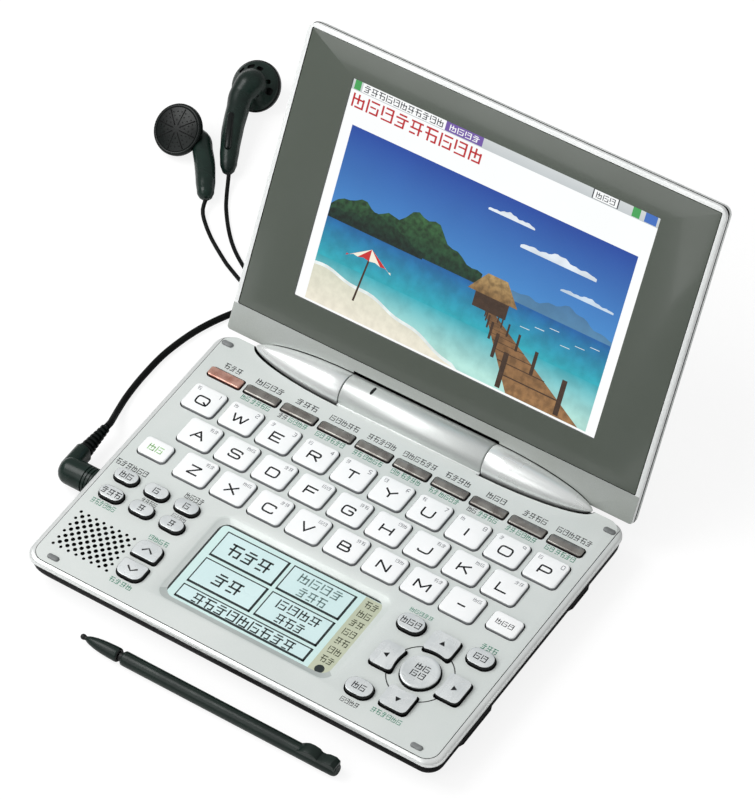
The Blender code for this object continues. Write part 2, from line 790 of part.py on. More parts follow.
def build_bottom_case(materials):
    case = case_shell("base_bottom_case", materials["black"])
    posts = prisms(
        "post_tool",
        [disc(*panel_place(shares), POST_RADIUS, 10) for shares in POST_PLACE_SHARES],
        CASE_FLOOR / 2,
        BOARD_BOTTOM - FIT,
        None,
    )
    combine(case, posts, "UNION")
    half = HINGE_TIP + BLOCK_WALL + FIT
    block_front = HINGE_Y - BARREL_RADIUS - TROUGH_CLEARANCE - BLOCK_WALL - FIT
    block_bottom = HINGE_Z - BARREL_RADIUS - TROUGH_CLEARANCE - BLOCK_WALL - FIT
    block_room = box(
        "block_room_tool", -half, half, block_front, BACK_EDGE + OVERRUN, block_bottom, PANEL_Z, None
    )
    boss_room = prisms(
        "boss_room_tool",
        [disc(*panel_place(shares), BOSS_RADIUS + FIT, 12) for shares in SCREW_PLACE_SHARES],
        BOSS_BOTTOM - FIT,
        PANEL_Z,
        None,
    )
    head_seats = prisms(
        "screw_seat_tool",
        [disc(*panel_place(shares), SCREW_HEAD_RADIUS + FIT, 12) for shares in SCREW_PLACE_SHARES],
        -OVERRUN,
        SCREW_HEAD_HEIGHT + FIT,
        None,
    )
    shank_holes = prisms(
        "screw_hole_tool",
        [disc(*panel_place(shares), SCREW_SHANK_RADIUS + FIT, 8) for shares in SCREW_PLACE_SHARES],
        -OVERRUN,
        BOSS_BOTTOM + OVERRUN,
        None,
    )
    feet = prisms("foot_seat_tool", foot_outlines(FIT), -OVERRUN, FOOT_SINK + FIT, None)
    socket_hole = turned(
        "socket_hole_tool",
        [(-BASE_WIDTH / 2 - OVERRUN, SOCKET_COLLAR + FIT), (-BASE_WIDTH / 2 + 3 * OVERRUN, SOCKET_COLLAR + FIT)],
        ROUND_SIDES,
        along_x(0, SOCKET_Y, SOCKET_HEIGHT),
        None,
    )
    cut(case, block_room, boss_room, head_seats, shank_holes, feet, socket_hole, door_region("door_room_tool", 0))
    for name, outline in zip(FOOT_NAMES, foot_outlines(0)):
        loft(name, [(outline, FLOOR_Z), (outline, FOOT_SINK)], materials["rubber"])
    door = case_shell("battery_cover", materials["black"])
    combine(door, door_region("door_tool", FIT), "INTERSECT")
    place(door, 0, (DOOR_FRONT_SHARE * BASE_DEPTH + BACK_EDGE) / 2, 0)


def build_screws(materials):
    for name, shares in zip(SCREW_NAMES, SCREW_PLACE_SHARES):
        profile = [
            (0, SCREW_HEAD_RADIUS),
            (SCREW_HEAD_HEIGHT, SCREW_HEAD_RADIUS),
            (SCREW_HEAD_HEIGHT, SCREW_SHANK_RADIUS),
            (SCREW_HEAD_HEIGHT + SCREW_SHANK_LENGTH, SCREW_SHANK_RADIUS),
        ]
        turned(name, profile, 10, along_z(*panel_place(shares), 0), materials["steel"])


def build_inside(materials):
    board_half = BOARD_WIDTH_SHARE * BASE_WIDTH / 2
    board = box(
        "main_board",
        -board_half,
        board_half,
        BOARD_FRONT_SHARE * BASE_DEPTH,
        BOARD_BACK_SHARE * BASE_DEPTH,
        BOARD_BOTTOM,
        BOARD_TOP,
        materials["board"],
    )
    speaker_x, speaker_y = grille_middle()
    speaker_half = SPEAKER_WIDTH_SHARE * BASE_WIDTH / 2
    speaker_deep = SPEAKER_DEPTH_SHARE * BASE_DEPTH / 2
    speaker_room = box(
        "speaker_room_tool",
        -BASE_WIDTH / 2,
        speaker_x + speaker_half + FIT,
        FRONT_EDGE,
        speaker_y + speaker_deep + FIT,
        BOARD_BOTTOM - OVERRUN,
        PANEL_Z,
        None,
    )
    socket_end = case_side_x() + SOCKET_LENGTH + FIT
    socket_front = SOCKET_Y - SOCKET_BODY_WIDTH / 2 - FIT
    socket_back = SOCKET_Y + SOCKET_BODY_WIDTH / 2 + FIT
    board_room = box(
        "board_socket_tool",
        -BASE_WIDTH / 2,
        socket_end,
        socket_front,
        socket_back,
        BOARD_BOTTOM - OVERRUN,
        PANEL_Z,
        None,
    )
    cut(board, speaker_room, board_room)
    speaker_top = COVER_UNDER - FIT
    speaker = rounded(speaker_x, speaker_y, 2 * speaker_half, 2 * speaker_deep, speaker_deep / 2, 2)
    cone = rounded(speaker_x, speaker_y, 1.6 * speaker_half, 1.6 * speaker_deep, speaker_deep / 2, 2)
    loft(
        "speaker_unit",
        [
            (cone, speaker_top - SPEAKER_HEIGHT),
            (speaker, speaker_top - SPEAKER_HEIGHT / 2),
            (speaker, speaker_top),
        ],
        materials["steel"],
    )
    mat_half = MAT_WIDTH_SHARE * BASE_WIDTH / 2
    mat = box(
        "key_mat",
        -mat_half,
        mat_half,
        BOARD_FRONT_SHARE * BASE_DEPTH,
        BOARD_BACK_SHARE * BASE_DEPTH,
        MAT_BOTTOM,
        MAT_TOP,
        materials["rubber"],
    )
    touch_room = prisms("touch_room_tool", [touch_rectangle(FIT)], MAT_BOTTOM - OVERRUN, PANEL_Z, None)
    socket_room = box(
        "socket_room_tool",
        -BASE_WIDTH / 2,
        socket_end + FIT,
        socket_front,
        socket_back,
        MAT_BOTTOM - OVERRUN,
        PANEL_Z,
        None,
    )
    cut(mat, speaker_room, touch_room, socket_room)
    glass_top = PANEL_Z - TOUCH_GLASS_RECESS
    glass_bottom = glass_top - TOUCH_GLASS_THICKNESS
    prisms("touch_glass", [touch_rectangle(0)], glass_bottom, glass_top, materials["touch screen"])
    module_top = min(COVER_UNDER, glass_bottom) - FIT
    prisms(
        "touch_display",
        [touch_rectangle(-TOUCH_LEDGE / 2)],
        module_top - TOUCH_MODULE_HEIGHT,
        module_top,
        materials["steel"],
    )
    battery_half = BATTERY_WIDTH_SHARE * BASE_WIDTH / 2
    battery_back = BATTERY_BACK_SHARE * BASE_DEPTH
    box(
        "battery_pack",
        -battery_half,
        battery_half,
        battery_back - BATTERY_DEPTH_SHARE * BASE_DEPTH,
        battery_back,
        CASE_FLOOR + FIT,
        BOARD_BOTTOM - FIT,
        materials["battery"],
    )


def build_socket(materials):
    face = case_side_x()
    body_left = face + 2.5 * CASE_WALL + 2 * FIT
    body_bottom = CASE_FLOOR + FIT
    body_top = SOCKET_HEIGHT + SOCKET_BORE + SOCKET_BODY_WALL
    socket = box(
        "earphone_socket",
        body_left,
        face + SOCKET_LENGTH,
        SOCKET_Y - SOCKET_BODY_WIDTH / 2,
        SOCKET_Y + SOCKET_BODY_WIDTH / 2,
        body_bottom,
        body_top,
        materials["black"],
    )
    frame = along_x(0, SOCKET_Y, SOCKET_HEIGHT)
    collar = turned(
        "socket_collar_tool",
        [(face, SOCKET_COLLAR - FIT), (body_left + FIT, SOCKET_COLLAR - FIT)],
        ROUND_SIDES,
        frame,
        None,
    )
    bore = turned(
        "socket_bore_tool",
        [(face - OVERRUN, SOCKET_BORE), (face + SOCKET_LENGTH - SOCKET_BODY_WALL, SOCKET_BORE)],
        ROUND_SIDES,
        frame,
        None,
    )
    combine(socket, collar, "UNION")
    cut(socket, bore)


# Lid


def lid_outline(inset, heel_inset=None):
    """The closed lid's outline, drawn in from its sides; heel_inset is at the hinge."""
    heel = inset if heel_inset is None else heel_inset
    front, back = -LID_END + inset, -LID_START - heel
    radius = max(LID_CORNER - inset, LID_HEEL_CORNER)
    return rounded(
        0, (front + back) / 2, 2 * (LID_HALF - inset), back - front, radius, heel_radius=LID_HEEL_CORNER
    )


def notch_tool(pivot):
    return box(
        "barrel_notch_tool",
        LEFT_SEAM - FIT,
        RIGHT_SEAM + FIT,
        -BARREL_RADIUS - NOTCH_CLEARANCE,
        BARREL_RADIUS,
        -BARREL_RADIUS,
        LID_BACK + OVERRUN,
        None,
        pivot,
    )


def build_lid(materials, pivot):
    nest = LID_WALL + FIT
    heel = BARREL_RADIUS + NOTCH_CLEARANCE + LID_WALL - LID_START
    frame = loft(
        "lid_front_frame",
        [
            (lid_outline(FRAME_EDGE), LID_FACE),
            (lid_outline(0), LID_FACE + FRAME_EDGE),
            (lid_outline(0), LID_FACE + FRAME_RIM),
            (lid_outline(nest + FIT, heel + FIT), LID_FACE + FRAME_RIM),
            (lid_outline(nest + FIT, heel + FIT), LID_FACE + FRAME_DEPTH),
        ],
        materials["silver"],
        pivot,
    )
    window_front = -LID_END + WINDOW_MARGIN
    window_back = -LID_START - heel - STRIP_LEDGE
    window_half = LID_HALF - WINDOW_MARGIN
    window_bottom = LID_FACE + WINDOW_RECESS
    window_top = window_bottom + WINDOW_THICKNESS
    pocket = box(
        "window_pocket_tool",
        -window_half - FIT,
        window_half + FIT,
        window_front - FIT,
        window_back + FIT,
        LID_FACE - OVERRUN,
        window_top + FIT,
        None,
        pivot,
    )
    screen_back = -LID_START - SCREEN_START_SHARE * LID_LENGTH
    screen_front = screen_back - SCREEN_LENGTH_SHARE * LID_LENGTH
    screen_half = SCREEN_WIDTH_SHARE * LID_HALF
    opening = box(
        "screen_opening_tool",
        -screen_half - FIT,
        screen_half + FIT,
        screen_front - FIT,
        screen_back + FIT,
        LID_FACE,
        LID_BACK,
        None,
        pivot,
    )
    cut(frame, pocket, opening, notch_tool(pivot))
    combine(frame, hinge_end_tool("left_end_tool", -HINGE_TIP, LEFT_SEAM, pivot), "UNION")
    combine(frame, hinge_end_tool("right_end_tool", HINGE_TIP, RIGHT_SEAM, pivot), "UNION")
    cut(frame, shaft_bore_tool(pivot, 0, 0))
    box(
        "lid_window",
        -window_half,
        window_half,
        window_front,
        window_back,
        window_bottom,
        window_top,
        materials["window"],
        pivot,
    )
    box(
        "main_display",
        -screen_half,
        screen_half,
        screen_front,
        screen_back,
        window_top + FIT,
        window_top + FIT + SCREEN_THICKNESS,
        materials["display"],
        pivot,
    )
    shell_start = LID_FACE + FRAME_RIM + FIT
    shell_height = LID_BACK - shell_start
    shell = loft(
        "lid_back_cover",
        [
            (lid_outline(0), shell_start),
            (lid_outline(shell_height * 0.04), shell_start + shell_height * 0.35),
            (lid_outline(shell_height * 0.20), shell_start + shell_height * 0.70),
            (lid_outline(shell_height * 0.45), shell_start + shell_height * 0.92),
            (lid_outline(shell_height * 0.80), LID_BACK),
        ],
        materials["silver"],
        pivot,
    )
    hollow = loft(
        "lid_hollow_tool",
        [
            (lid_outline(nest, heel), shell_start - OVERRUN),
            (lid_outline(nest, heel), shell_start + shell_height * 0.35),
            (lid_outline(nest + LID_WALL, heel), LID_BACK - LID_WALL),
        ],
        None,
        pivot,
    )
    cut(shell, hollow, notch_tool(pivot))


# Earphones


def smooth_route(points, spacing):
    """Points a spacing apart on a smooth curve through the given ones."""
    nodes = [Vector(point) for point in points]
    nodes = [2 * nodes[0] - nodes[1], *nodes, 2 * nodes[-1] - nodes[-2]]
    dense = []
    fine = 24
    for before, start, end, after in zip(nodes, nodes[1:], nodes[2:], nodes[3:]):
        for step in range(fine):
            share = step / fine
            dense.append(
                0.5
                * (
                    2 * start
                    + (end - before) * share
                    + (2 * before - 5 * start + 4 * end - after) * share**2
                    + (3 * start - before - 3 * end + after) * share**3
                )
            )
    dense.append(nodes[-2])
    lengths = [0.0]
    for first, second in zip(dense, dense[1:]):
        lengths.append(lengths[-1] + (second - first).length)
    count = max(2, round(lengths[-1] / spacing))
    route, index = [], 0
    for step in range(count + 1):
        wanted = lengths[-1] * step / count
        while index < len(dense) - 2 and lengths[index + 1] < wanted:
            index += 1
        span = lengths[index + 1] - lengths[index]
        route.append(dense[index].lerp(dense[index + 1], (wanted - lengths[index]) / span if span else 0))
    return route


def route_length(points):
    return sum((Vector(b) - Vector(a)).length for a, b in zip(points, points[1:]))


def tube(name, points, diameter, resolution, material):
    curve = bpy.data.curves.new(name, "CURVE")
    curve.dimensions = "3D"
    curve.bevel_depth = diameter / 2
    curve.bevel_resolution = resolution
    curve.use_fill_caps = True
    curve.materials.append(material)
    spline = curve.splines.new("POLY")
    spline.points.add(len(points) - 1)
    for target, point in zip(spline.points, points):
        target.co = (*point, 1.0)
    thing = bpy.data.objects.new(name, curve)
    bpy.context.scene.collection.objects.link(thing)
    return thing


LEAD_REST = FLOOR_Z + LEAD_DIAMETER / 2 + FIT / 2
BRANCH_REST = FLOOR_Z + BRANCH_DIAMETER / 2 + FIT / 2
BRANCH_OVER = FLOOR_Z + LEAD_DIAMETER + BRANCH_DIAMETER
COIL_LOW = FLOOR_Z + LEAD_DIAMETER / 2 + TIE_THICKNESS + FIT
COIL_HIGH = COIL_LOW + COIL_LAYER_PITCH
SPLITTER_PLACE = (0.0120, 0.1000)

# The lead's route from the plug to the coil, after its first point at the plug's boot
LEAD_ROUTE = (
    (-0.0828, 0.0070, 0.0040),
    (-0.0840, 0.0100, 0.0026),
    (-0.0857, 0.0150, 0.0010),
    (-0.0869, 0.0210, 0.0004),
    (-0.0874, 0.0300, 0.0004),
    (-0.0869, 0.0410, 0.0004),
    (-0.0841, 0.0530, 0.0004),
    (-0.0793, 0.0635, 0.0004),
    (-0.0738, 0.0710, 0.0004),
    (-0.0670, 0.0780, 0.0004),
    (-0.0590, 0.0832, 0.0005),
    (-0.0500, 0.0866, 0.0007),
    (-0.0410, 0.0880, 0.0010),
)
LEFT_BRANCH_ROUTE = (
    (0.0240, 0.1020, -0.0001),
    (0.0330, 0.1010, -0.0001),
    (0.0410, 0.0975, -0.0001),
    (0.0462, 0.0910, -0.0001),
    (0.0450, 0.0835, -0.0001),
    (0.0385, 0.0785, -0.0001),
    (0.0290, 0.0763, -0.0001),
    (0.0120, 0.0752, -0.0001),
    (-0.0120, 0.0738, -0.0001),
    (-0.0340, 0.0722, -0.0001),
    (-0.0480, 0.0708, 0.0001),
    (-0.0570, 0.0701, 0.0007),
    (-0.0640, 0.0699, 0.0017),
    (-0.0700, 0.0704, 0.0025),
    (-0.0746, 0.0714, 0.0027),
    (-0.0795, 0.0733, 0.0023),
    (-0.0850, 0.0760, 0.0013),
    (-0.0910, 0.0791, 0.0004),
    (-0.0939, 0.0808, -0.0001),
    (-0.1025, 0.0861, -0.0001),
    (-0.1088, 0.0911, 0.0002),
    (-0.1112, 0.0939, 0.0010),
)
RIGHT_BRANCH_ROUTE = (
    (0.0235, 0.0982, -0.0001),
    (0.0310, 0.0975, -0.0001),
    (0.0372, 0.0945, -0.0001),
    (0.0405, 0.0897, -0.0001),
    (0.0388, 0.0845, -0.0001),
    (0.0330, 0.0810, -0.0001),
    (0.0240, 0.0793, -0.0001),
    (0.0080, 0.0782, -0.0001),
    (-0.0140, 0.0768, -0.0001),
    (-0.0330, 0.0755, -0.0001),
    (-0.0460, 0.0743, 0.0001),
    (-0.0540, 0.0738, 0.0007),
    (-0.0610, 0.0737, 0.0017),
    (-0.0665, 0.0742, 0.0025),
    (-0.0712, 0.0752, 0.0027),
    (-0.0765, 0.0764, 0.0023),
    (-0.0820, 0.0787, 0.0013),
    (-0.0876, 0.0818, 0.0004),
    (-0.0943, 0.0865, -0.0001),
    (-0.1000, 0.0918, -0.0001),
    (-0.1057, 0.0985, -0.0001),
    (-0.1091, 0.1037, 0.0003),
    (-0.1108, 0.1068, 0.0012),
)


def plug_face_x():
    return -BASE_WIDTH / 2 - FIT


def plug_arm_x():
    return plug_face_x() - PLUG_BARREL - PLUG_DOME + PLUG_ARM_RADIUS


def boot_start_y():
    return SOCKET_Y + PLUG_ARM_REACH


def build_plug(materials):
    face = plug_face_x()
    dome = [(0.35, 0.93), (0.70, 0.70), (0.92, 0.38)]
    profile = [(face, PLUG_RADIUS), (face - PLUG_BARREL, PLUG_RADIUS)]
    profile += [(face - PLUG_BARREL - PLUG_DOME * far, PLUG_RADIUS * wide) for far, wide in dome]
    profile.append((face - PLUG_BARREL - PLUG_DOME, 0.0))
    body = turned(
        "plug_body", profile, ROUND_SIDES, along_x(0, SOCKET_Y, SOCKET_HEIGHT), materials["earphone"]
    )
    arm_frame = along_y(plug_arm_x(), SOCKET_Y, SOCKET_HEIGHT)
    stretch = Matrix.Diagonal((1.0, 1.0, PLUG_ARM_HEIGHT / PLUG_ARM_RADIUS, 1.0))
    arm = turned(
        "plug_arm_tool",
        [(0.0, PLUG_ARM_RADIUS), (PLUG_ARM_REACH, PLUG_ARM_RADIUS)],
        ROUND_SIDES,
        arm_frame @ stretch,
        None,
    )
    combine(body, arm, "UNION")
    pin_start = face + FIT
    pin = [
        (pin_start, PLUG_PIN_RADIUS),
        (pin_start + PLUG_PIN_LENGTH - 2 * PLUG_PIN_RADIUS, PLUG_PIN_RADIUS),
        (pin_start + PLUG_PIN_LENGTH - PLUG_PIN_RADIUS, PLUG_PIN_RADIUS / 2),
        (pin_start + PLUG_PIN_LENGTH - PLUG_PIN_RADIUS / 2, PLUG_PIN_RADIUS * 0.8),
        (pin_start + PLUG_PIN_LENGTH, 0.0),
    ]
    turned("plug_pin", pin, 12, along_x(0, SOCKET_Y, SOCKET_HEIGHT), materials["steel"])
    boot = [(-BOOT_OVERLAP, BOOT_ROOT_RADIUS)]
    for rib in range(BOOT_RIBS):
        share = rib / (BOOT_RIBS - 1)
        radius = BOOT_ROOT_RADIUS + (BOOT_END_RADIUS - BOOT_ROOT_RADIUS) * share
        start = BOOT_LENGTH * rib / BOOT_RIBS
        if rib:
            boot.append((start, radius))
        boot.append((start + BOOT_LENGTH / BOOT_RIBS / 2, radius - BOOT_RIB))
    boot.append((BOOT_LENGTH, BOOT_END_RADIUS - BOOT_RIB))
    boot_frame = along_y(plug_arm_x(), boot_start_y(), SOCKET_HEIGHT)
    combine(body, turned("boot_tool", boot, 12, boot_frame, None), "UNION")


def coil_points():
    """The wound length: in along the lower layer, up a layer in half a turn, and out along the upper one."""
    reach = COIL_SPIRAL_TURNS * COIL_TURN_PITCH
    outer, inner = COIL_MEAN_RADIUS + reach / 2, COIL_MEAN_RADIUS - reach / 2
    total = 2 * COIL_SPIRAL_TURNS + COIL_CLIMB_TURNS
    count = round(total * LOOP_POINTS)
    points = []
    for step in range(count + 1):
        turns = total * step / count
        if turns <= COIL_SPIRAL_TURNS:
            radius, rise = outer - COIL_TURN_PITCH * turns, 0.0
        elif turns <= COIL_SPIRAL_TURNS + COIL_CLIMB_TURNS:
            radius, rise = inner, (turns - COIL_SPIRAL_TURNS) / COIL_CLIMB_TURNS
        else:
            radius, rise = inner + COIL_TURN_PITCH * (turns - COIL_SPIRAL_TURNS - COIL_CLIMB_TURNS), 1.0
        angle = math.tau * turns - math.pi / 2
        points.append(
            Vector(
                (
                    COIL_CENTRE[0] + radius * math.cos(angle),
                    COIL_CENTRE[1] + radius * math.sin(angle),
                    COIL_LOW + COIL_LAYER_PITCH * rise,
                )
            )
        )
    return points


def coil_end_points():
    """The straight start of the wound tube and its way down to the splitter."""
    reach = COIL_SPIRAL_TURNS * COIL_TURN_PITCH
    edge_y = COIL_CENTRE[1] - COIL_MEAN_RADIUS - reach / 2
    start = Vector((COIL_CENTRE[0] - 2 * LEAD_DIAMETER, edge_y, COIL_LOW))
    splitter_x = SPLITTER_PLACE[0] - SPLITTER_LENGTH / 2 - FIT
    last = Vector((splitter_x, SPLITTER_PLACE[1], LEAD_REST))
    straight = last - Vector((LEAD_DIAMETER, 0, 0))
    leave = Vector((COIL_CENTRE[0] + 2 * LEAD_DIAMETER, edge_y + LEAD_DIAMETER / 4, COIL_HIGH))
    way = [leave, leave.lerp(straight, 0.5) + Vector((LEAD_DIAMETER, -LEAD_DIAMETER, 0)), straight, last]
    return start, smooth_route(way, 2 * LEAD_DIAMETER)


def least_gap(points, diameter):
    """The least distance between far stretches of a tube, less its diameter."""
    skip = LOOP_POINTS // 3
    return min(
        (points[i] - points[j]).length for i in range(len(points)) for j in range(i + skip, len(points))
    ) - diameter


def build_cords(materials):
    first = Vector((plug_arm_x(), boot_start_y() + BOOT_LENGTH + FIT, SOCKET_HEIGHT))
    start, tail = coil_end_points()
    lead_end = start - Vector((FIT, 0, 0))
    lead = smooth_route([first, *LEAD_ROUTE, lead_end], 2.5 * LEAD_DIAMETER)
    tube("cord_lead", lead, LEAD_DIAMETER, 2, materials["earphone"])
    wound = [start, *coil_points(), *tail]
    tube("cord_coil", wound, LEAD_DIAMETER, 1, materials["earphone"])
    gap = least_gap(wound, LEAD_DIAMETER)
    print(f"least gap of the coil to itself: {gap * 1000:.2f} mm, wanted over {COIL_LEAST_GAP * 1000:.2f} mm")
    print(f"lead {route_length(lead) + route_length(wound):.3f} m")
    split_x = SPLITTER_PLACE[0] + SPLITTER_LENGTH / 2 + FIT
    for name, route, side, shell in (
        ("cord_left", LEFT_BRANCH_ROUTE, 1, "left"),
        ("cord_right", RIGHT_BRANCH_ROUTE, -1, "right"),
    ):
        root = Vector((split_x, SPLITTER_PLACE[1] + side * BRANCH_SPACING / 2, BRANCH_REST))
        points = smooth_route([root, *route, bud_cord_end(shell)], 3 * BRANCH_DIAMETER)
        tube(name, points, BRANCH_DIAMETER, 2, materials["earphone"])
        print(f"{name} {route_length(points):.3f} m")
    half_length = SPLITTER_LENGTH / 2
    outline = rounded(*SPLITTER_PLACE, SPLITTER_LENGTH, SPLITTER_WIDTH, SPLITTER_HEIGHT / 2, 2)
    inner = rounded(
        *SPLITTER_PLACE, 2 * half_length - 2 * FIT, SPLITTER_WIDTH - 2 * FIT, SPLITTER_HEIGHT / 2 - FIT, 2
    )
    loft(
        "cord_splitter",
        [
            (inner, FLOOR_Z),
            (outline, FLOOR_Z + 2 * FIT),
            (outline, FLOOR_Z + SPLITTER_HEIGHT - 2 * FIT),
            (inner, FLOOR_Z + SPLITTER_HEIGHT),
        ],
        materials["earphone"],
    )
    build_tie(materials)


def build_tie(materials):
    """A flat band round the whole bundle, at the coil's back."""
    reach = COIL_SPIRAL_TURNS * COIL_TURN_PITCH
    front = COIL_CENTRE[1] + COIL_MEAN_RADIUS - reach / 2 - LEAD_DIAMETER / 2 - FIT - TIE_THICKNESS
    back = COIL_CENTRE[1] + COIL_MEAN_RADIUS + reach / 2 + LEAD_DIAMETER / 2 + FIT + TIE_THICKNESS
    left, right = COIL_CENTRE[0] - TIE_WIDTH / 2, COIL_CENTRE[0] + TIE_WIDTH / 2
    top = COIL_HIGH + LEAD_DIAMETER / 2 + FIT + TIE_THICKNESS
    band = box("coil_tie", left, right, front, back, FLOOR_Z, top, materials["rubber"])
    room = box(
        "tie_room_tool",
        left - OVERRUN,
        right + OVERRUN,
        front + TIE_THICKNESS,
        back - TIE_THICKNESS,
        FLOOR_Z + TIE_THICKNESS,
        top - TIE_THICKNESS,
        None,
    )
    cut(band, room)


# Where each earbud's grille centre lies, which way the grille faces, and its stem's start and end
BUD_PLACES = {
    "left": ((-0.1341, 0.1127, 0.0073), (-0.03, -0.62, 0.78), (-0.1293, 0.1180, 0.0048), (-0.1124, 0.0971, 0.0022)),
    "right": ((-0.1246, 0.1431, 0.0045), (-0.02, 0.62, -0.78), (-0.1276, 0.1371, 0.0085), (-0.1124, 0.1097, 0.0022)),
}


def frame_along(start, direction, near):
    """A frame at start with X along the direction and Y as near as it goes to the other one."""
    ahead = direction.normalized()
    aside = (near - near.dot(ahead) * ahead).normalized()
    turn = Matrix((ahead, aside, ahead.cross(aside))).transposed().to_4x4()
    return Matrix.Translation(start) @ turn


def bud_frames(side):
    """An earbud's two frames: the head's, with X to its grille, and the stem's, with X along it."""
    centre, facing, stem_start, stem_end = (Vector(values) for values in BUD_PLACES[side])
    stem = stem_end - stem_start
    return frame_along(centre, facing, stem), frame_along(stem_start, stem, facing), stem.length


def bud_cord_end(side):
    _, stem_frame, length = bud_frames(side)
    return stem_frame @ Vector((length + 2 * FIT, 0.0, 0.0))


def build_earbuds(materials):
    for side in BUD_PLACES:
        frame, stem_frame, stem_length = bud_frames(side)
        head = [
            (0.0, BUD_RADIUS * 0.94),
            (-BUD_RIM * 0.4, BUD_RADIUS),
            (-BUD_RIM, BUD_RADIUS * 0.95),
            (-BUD_DEPTH * 0.62, BUD_NECK_RADIUS * 1.35),
            (-BUD_DEPTH, BUD_NECK_RADIUS * 0.75),
        ]
        shell = turned(f"earbud_{side}_shell", head, ROUND_SIDES, frame, materials["earphone"])
        stem = turned(
            f"earbud_{side}_stem_tool",
            [
                (0.0, BUD_STEM_ROOT_RADIUS * 0.7),
                (stem_length * 0.15, BUD_STEM_ROOT_RADIUS),
                (stem_length * 0.6, BUD_STEM_ROOT_RADIUS * 0.97),
                (stem_length * 0.93, BUD_STEM_END_RADIUS),
                (stem_length, BUD_STEM_END_RADIUS * 0.55),
            ],
            12,
            stem_frame,
            None,
        )
        combine(shell, stem, "UNION")
        seat = turned(
            f"earbud_{side}_seat_tool",
            [(-BUD_GRILLE_SINK - FIT, BUD_GRILLE_RADIUS + FIT), (OVERRUN, BUD_GRILLE_RADIUS + FIT)],
            ROUND_SIDES,
            frame,
            None,
        )
        cut(shell, seat)
        grille = [
            (-BUD_GRILLE_SINK, BUD_GRILLE_RADIUS),
            (0.0, BUD_GRILLE_RADIUS),
            (BUD_GRILLE_THICKNESS - BUD_GRILLE_SINK, BUD_GRILLE_RADIUS * 0.75),
        ]
        turned(f"earbud_{side}_grille", grille, ROUND_SIDES, frame, materials["rubber"])


# Stylus


def build_stylus(materials):
    start = STYLUS_START_SHARE * BASE_WIDTH
    centre_y = FRONT_EDGE - STYLUS_AHEAD
    frame = along_x(start, centre_y, FLOOR_Z + STYLUS_RADIUS)
    tip = [
        (0.0, STYLUS_NIB_RADIUS * 0.6),
        (STYLUS_TIP_LENGTH * 0.03, STYLUS_NIB_RADIUS),
        (STYLUS_TIP_LENGTH * 0.13, STYLUS_NIB_RADIUS),
        (STYLUS_TIP_LENGTH * 0.15, STYLUS_RADIUS * 0.62),
        (STYLUS_TIP_LENGTH * 0.5, STYLUS_RADIUS * 0.87),
        (STYLUS_TIP_LENGTH, STYLUS_RADIUS),
    ]
    turned("stylus_tip", tip, ROUND_SIDES, frame, materials["stylus"])
    body_start = STYLUS_TIP_LENGTH + FIT
    body = [
        (body_start, STYLUS_RADIUS * 0.8),
        (body_start + STYLUS_RADIUS * 0.6, STYLUS_RADIUS * 0.8),
        (body_start + STYLUS_RADIUS * 0.7, STYLUS_RADIUS),
        (body_start + STYLUS_BODY_LENGTH - STYLUS_RADIUS * 0.2, STYLUS_RADIUS),
        (body_start + STYLUS_BODY_LENGTH, STYLUS_RADIUS * 0.85),
    ]
    barrel = turned("stylus_barrel", body, ROUND_SIDES, frame, materials["stylus"])
    ridge_x = start + body_start + STYLUS_BODY_LENGTH
    ridge_z = FLOOR_Z + STYLUS_RADIUS
    ridge_low, ridge_high = STYLUS_RADIUS * 0.3, STYLUS_RADIUS + STYLUS_RIDGE_RISE
    shares = (0.165, 0.15, 0.125, 0.098, 0.085, 0.083, 0.065, 0.060, 0.010)
    rises = (0.0, 0.7, 1.0, 0.95, 0.7, 0.15, 0.15, 0.9, 0.0)
    top = [
        (ridge_x - STYLUS_BODY_LENGTH * share, ridge_z + STYLUS_RADIUS * 0.7 + (ridge_high - STYLUS_RADIUS * 0.7) * rise)
        for share, rise in zip(shares, rises)
    ]
    side = [(top[0][0], ridge_z + ridge_low), *top, (top[-1][0], ridge_z + ridge_low)]
    shape = bmesh.new()
    half = STYLUS_RADIUS * 0.55
    near = [shape.verts.new((x, centre_y - half, z)) for x, z in side]
    far = [shape.verts.new((x, centre_y + half, z)) for x, z in side]
    for index in range(len(side)):
        following = (index + 1) % len(side)
        shape.faces.new((near[index], near[following], far[following], far[index]))
    shape.faces.new(near)
    shape.faces.new(list(reversed(far)))
    ridge = finish_mesh("stylus_ridge_tool", shape, None)
    combine(barrel, ridge, "UNION")


def make_materials():
    return {
        "silver": make_material("satin silver plastic", (0.64, 0.67, 0.65), 0.35, 0.3),
        "black": make_material("black plastic", (0.015, 0.015, 0.016), 0.4),
        "letter keys": make_material("white key plastic", (0.88, 0.9, 0.89), 0.4),
        "function keys": make_material("taupe key plastic", (0.22, 0.19, 0.17), 0.35, 0.3),
        "power key": make_material("copper key plastic", (0.52, 0.26, 0.2), 0.3, 0.4),
        "pad keys": make_material("silver key plastic", (0.75, 0.77, 0.76), 0.3, 0.3),
        "touch screen": make_material("touch screen glass", (0.68, 0.85, 0.83), 0.25),
        "window": make_material("lid window", (0.09, 0.10, 0.09), 0.08),
        "display": make_material("colour display", (0.2, 0.45, 0.7), 0.2),
        "rubber": make_material("grey rubber", (0.12, 0.13, 0.13), 0.7),
        "steel": make_material("steel", (0.55, 0.56, 0.56), 0.3, 1.0),
        "board": make_material("circuit board", (0.02, 0.2, 0.08), 0.5),
        "battery": make_material("battery wrap", (0.1, 0.12, 0.3), 0.5),
        "earphone": make_material("earphone plastic", (0.02, 0.03, 0.03), 0.35),
        "stylus": make_material("stylus plastic", (0.03, 0.045, 0.04), 0.4),
    }


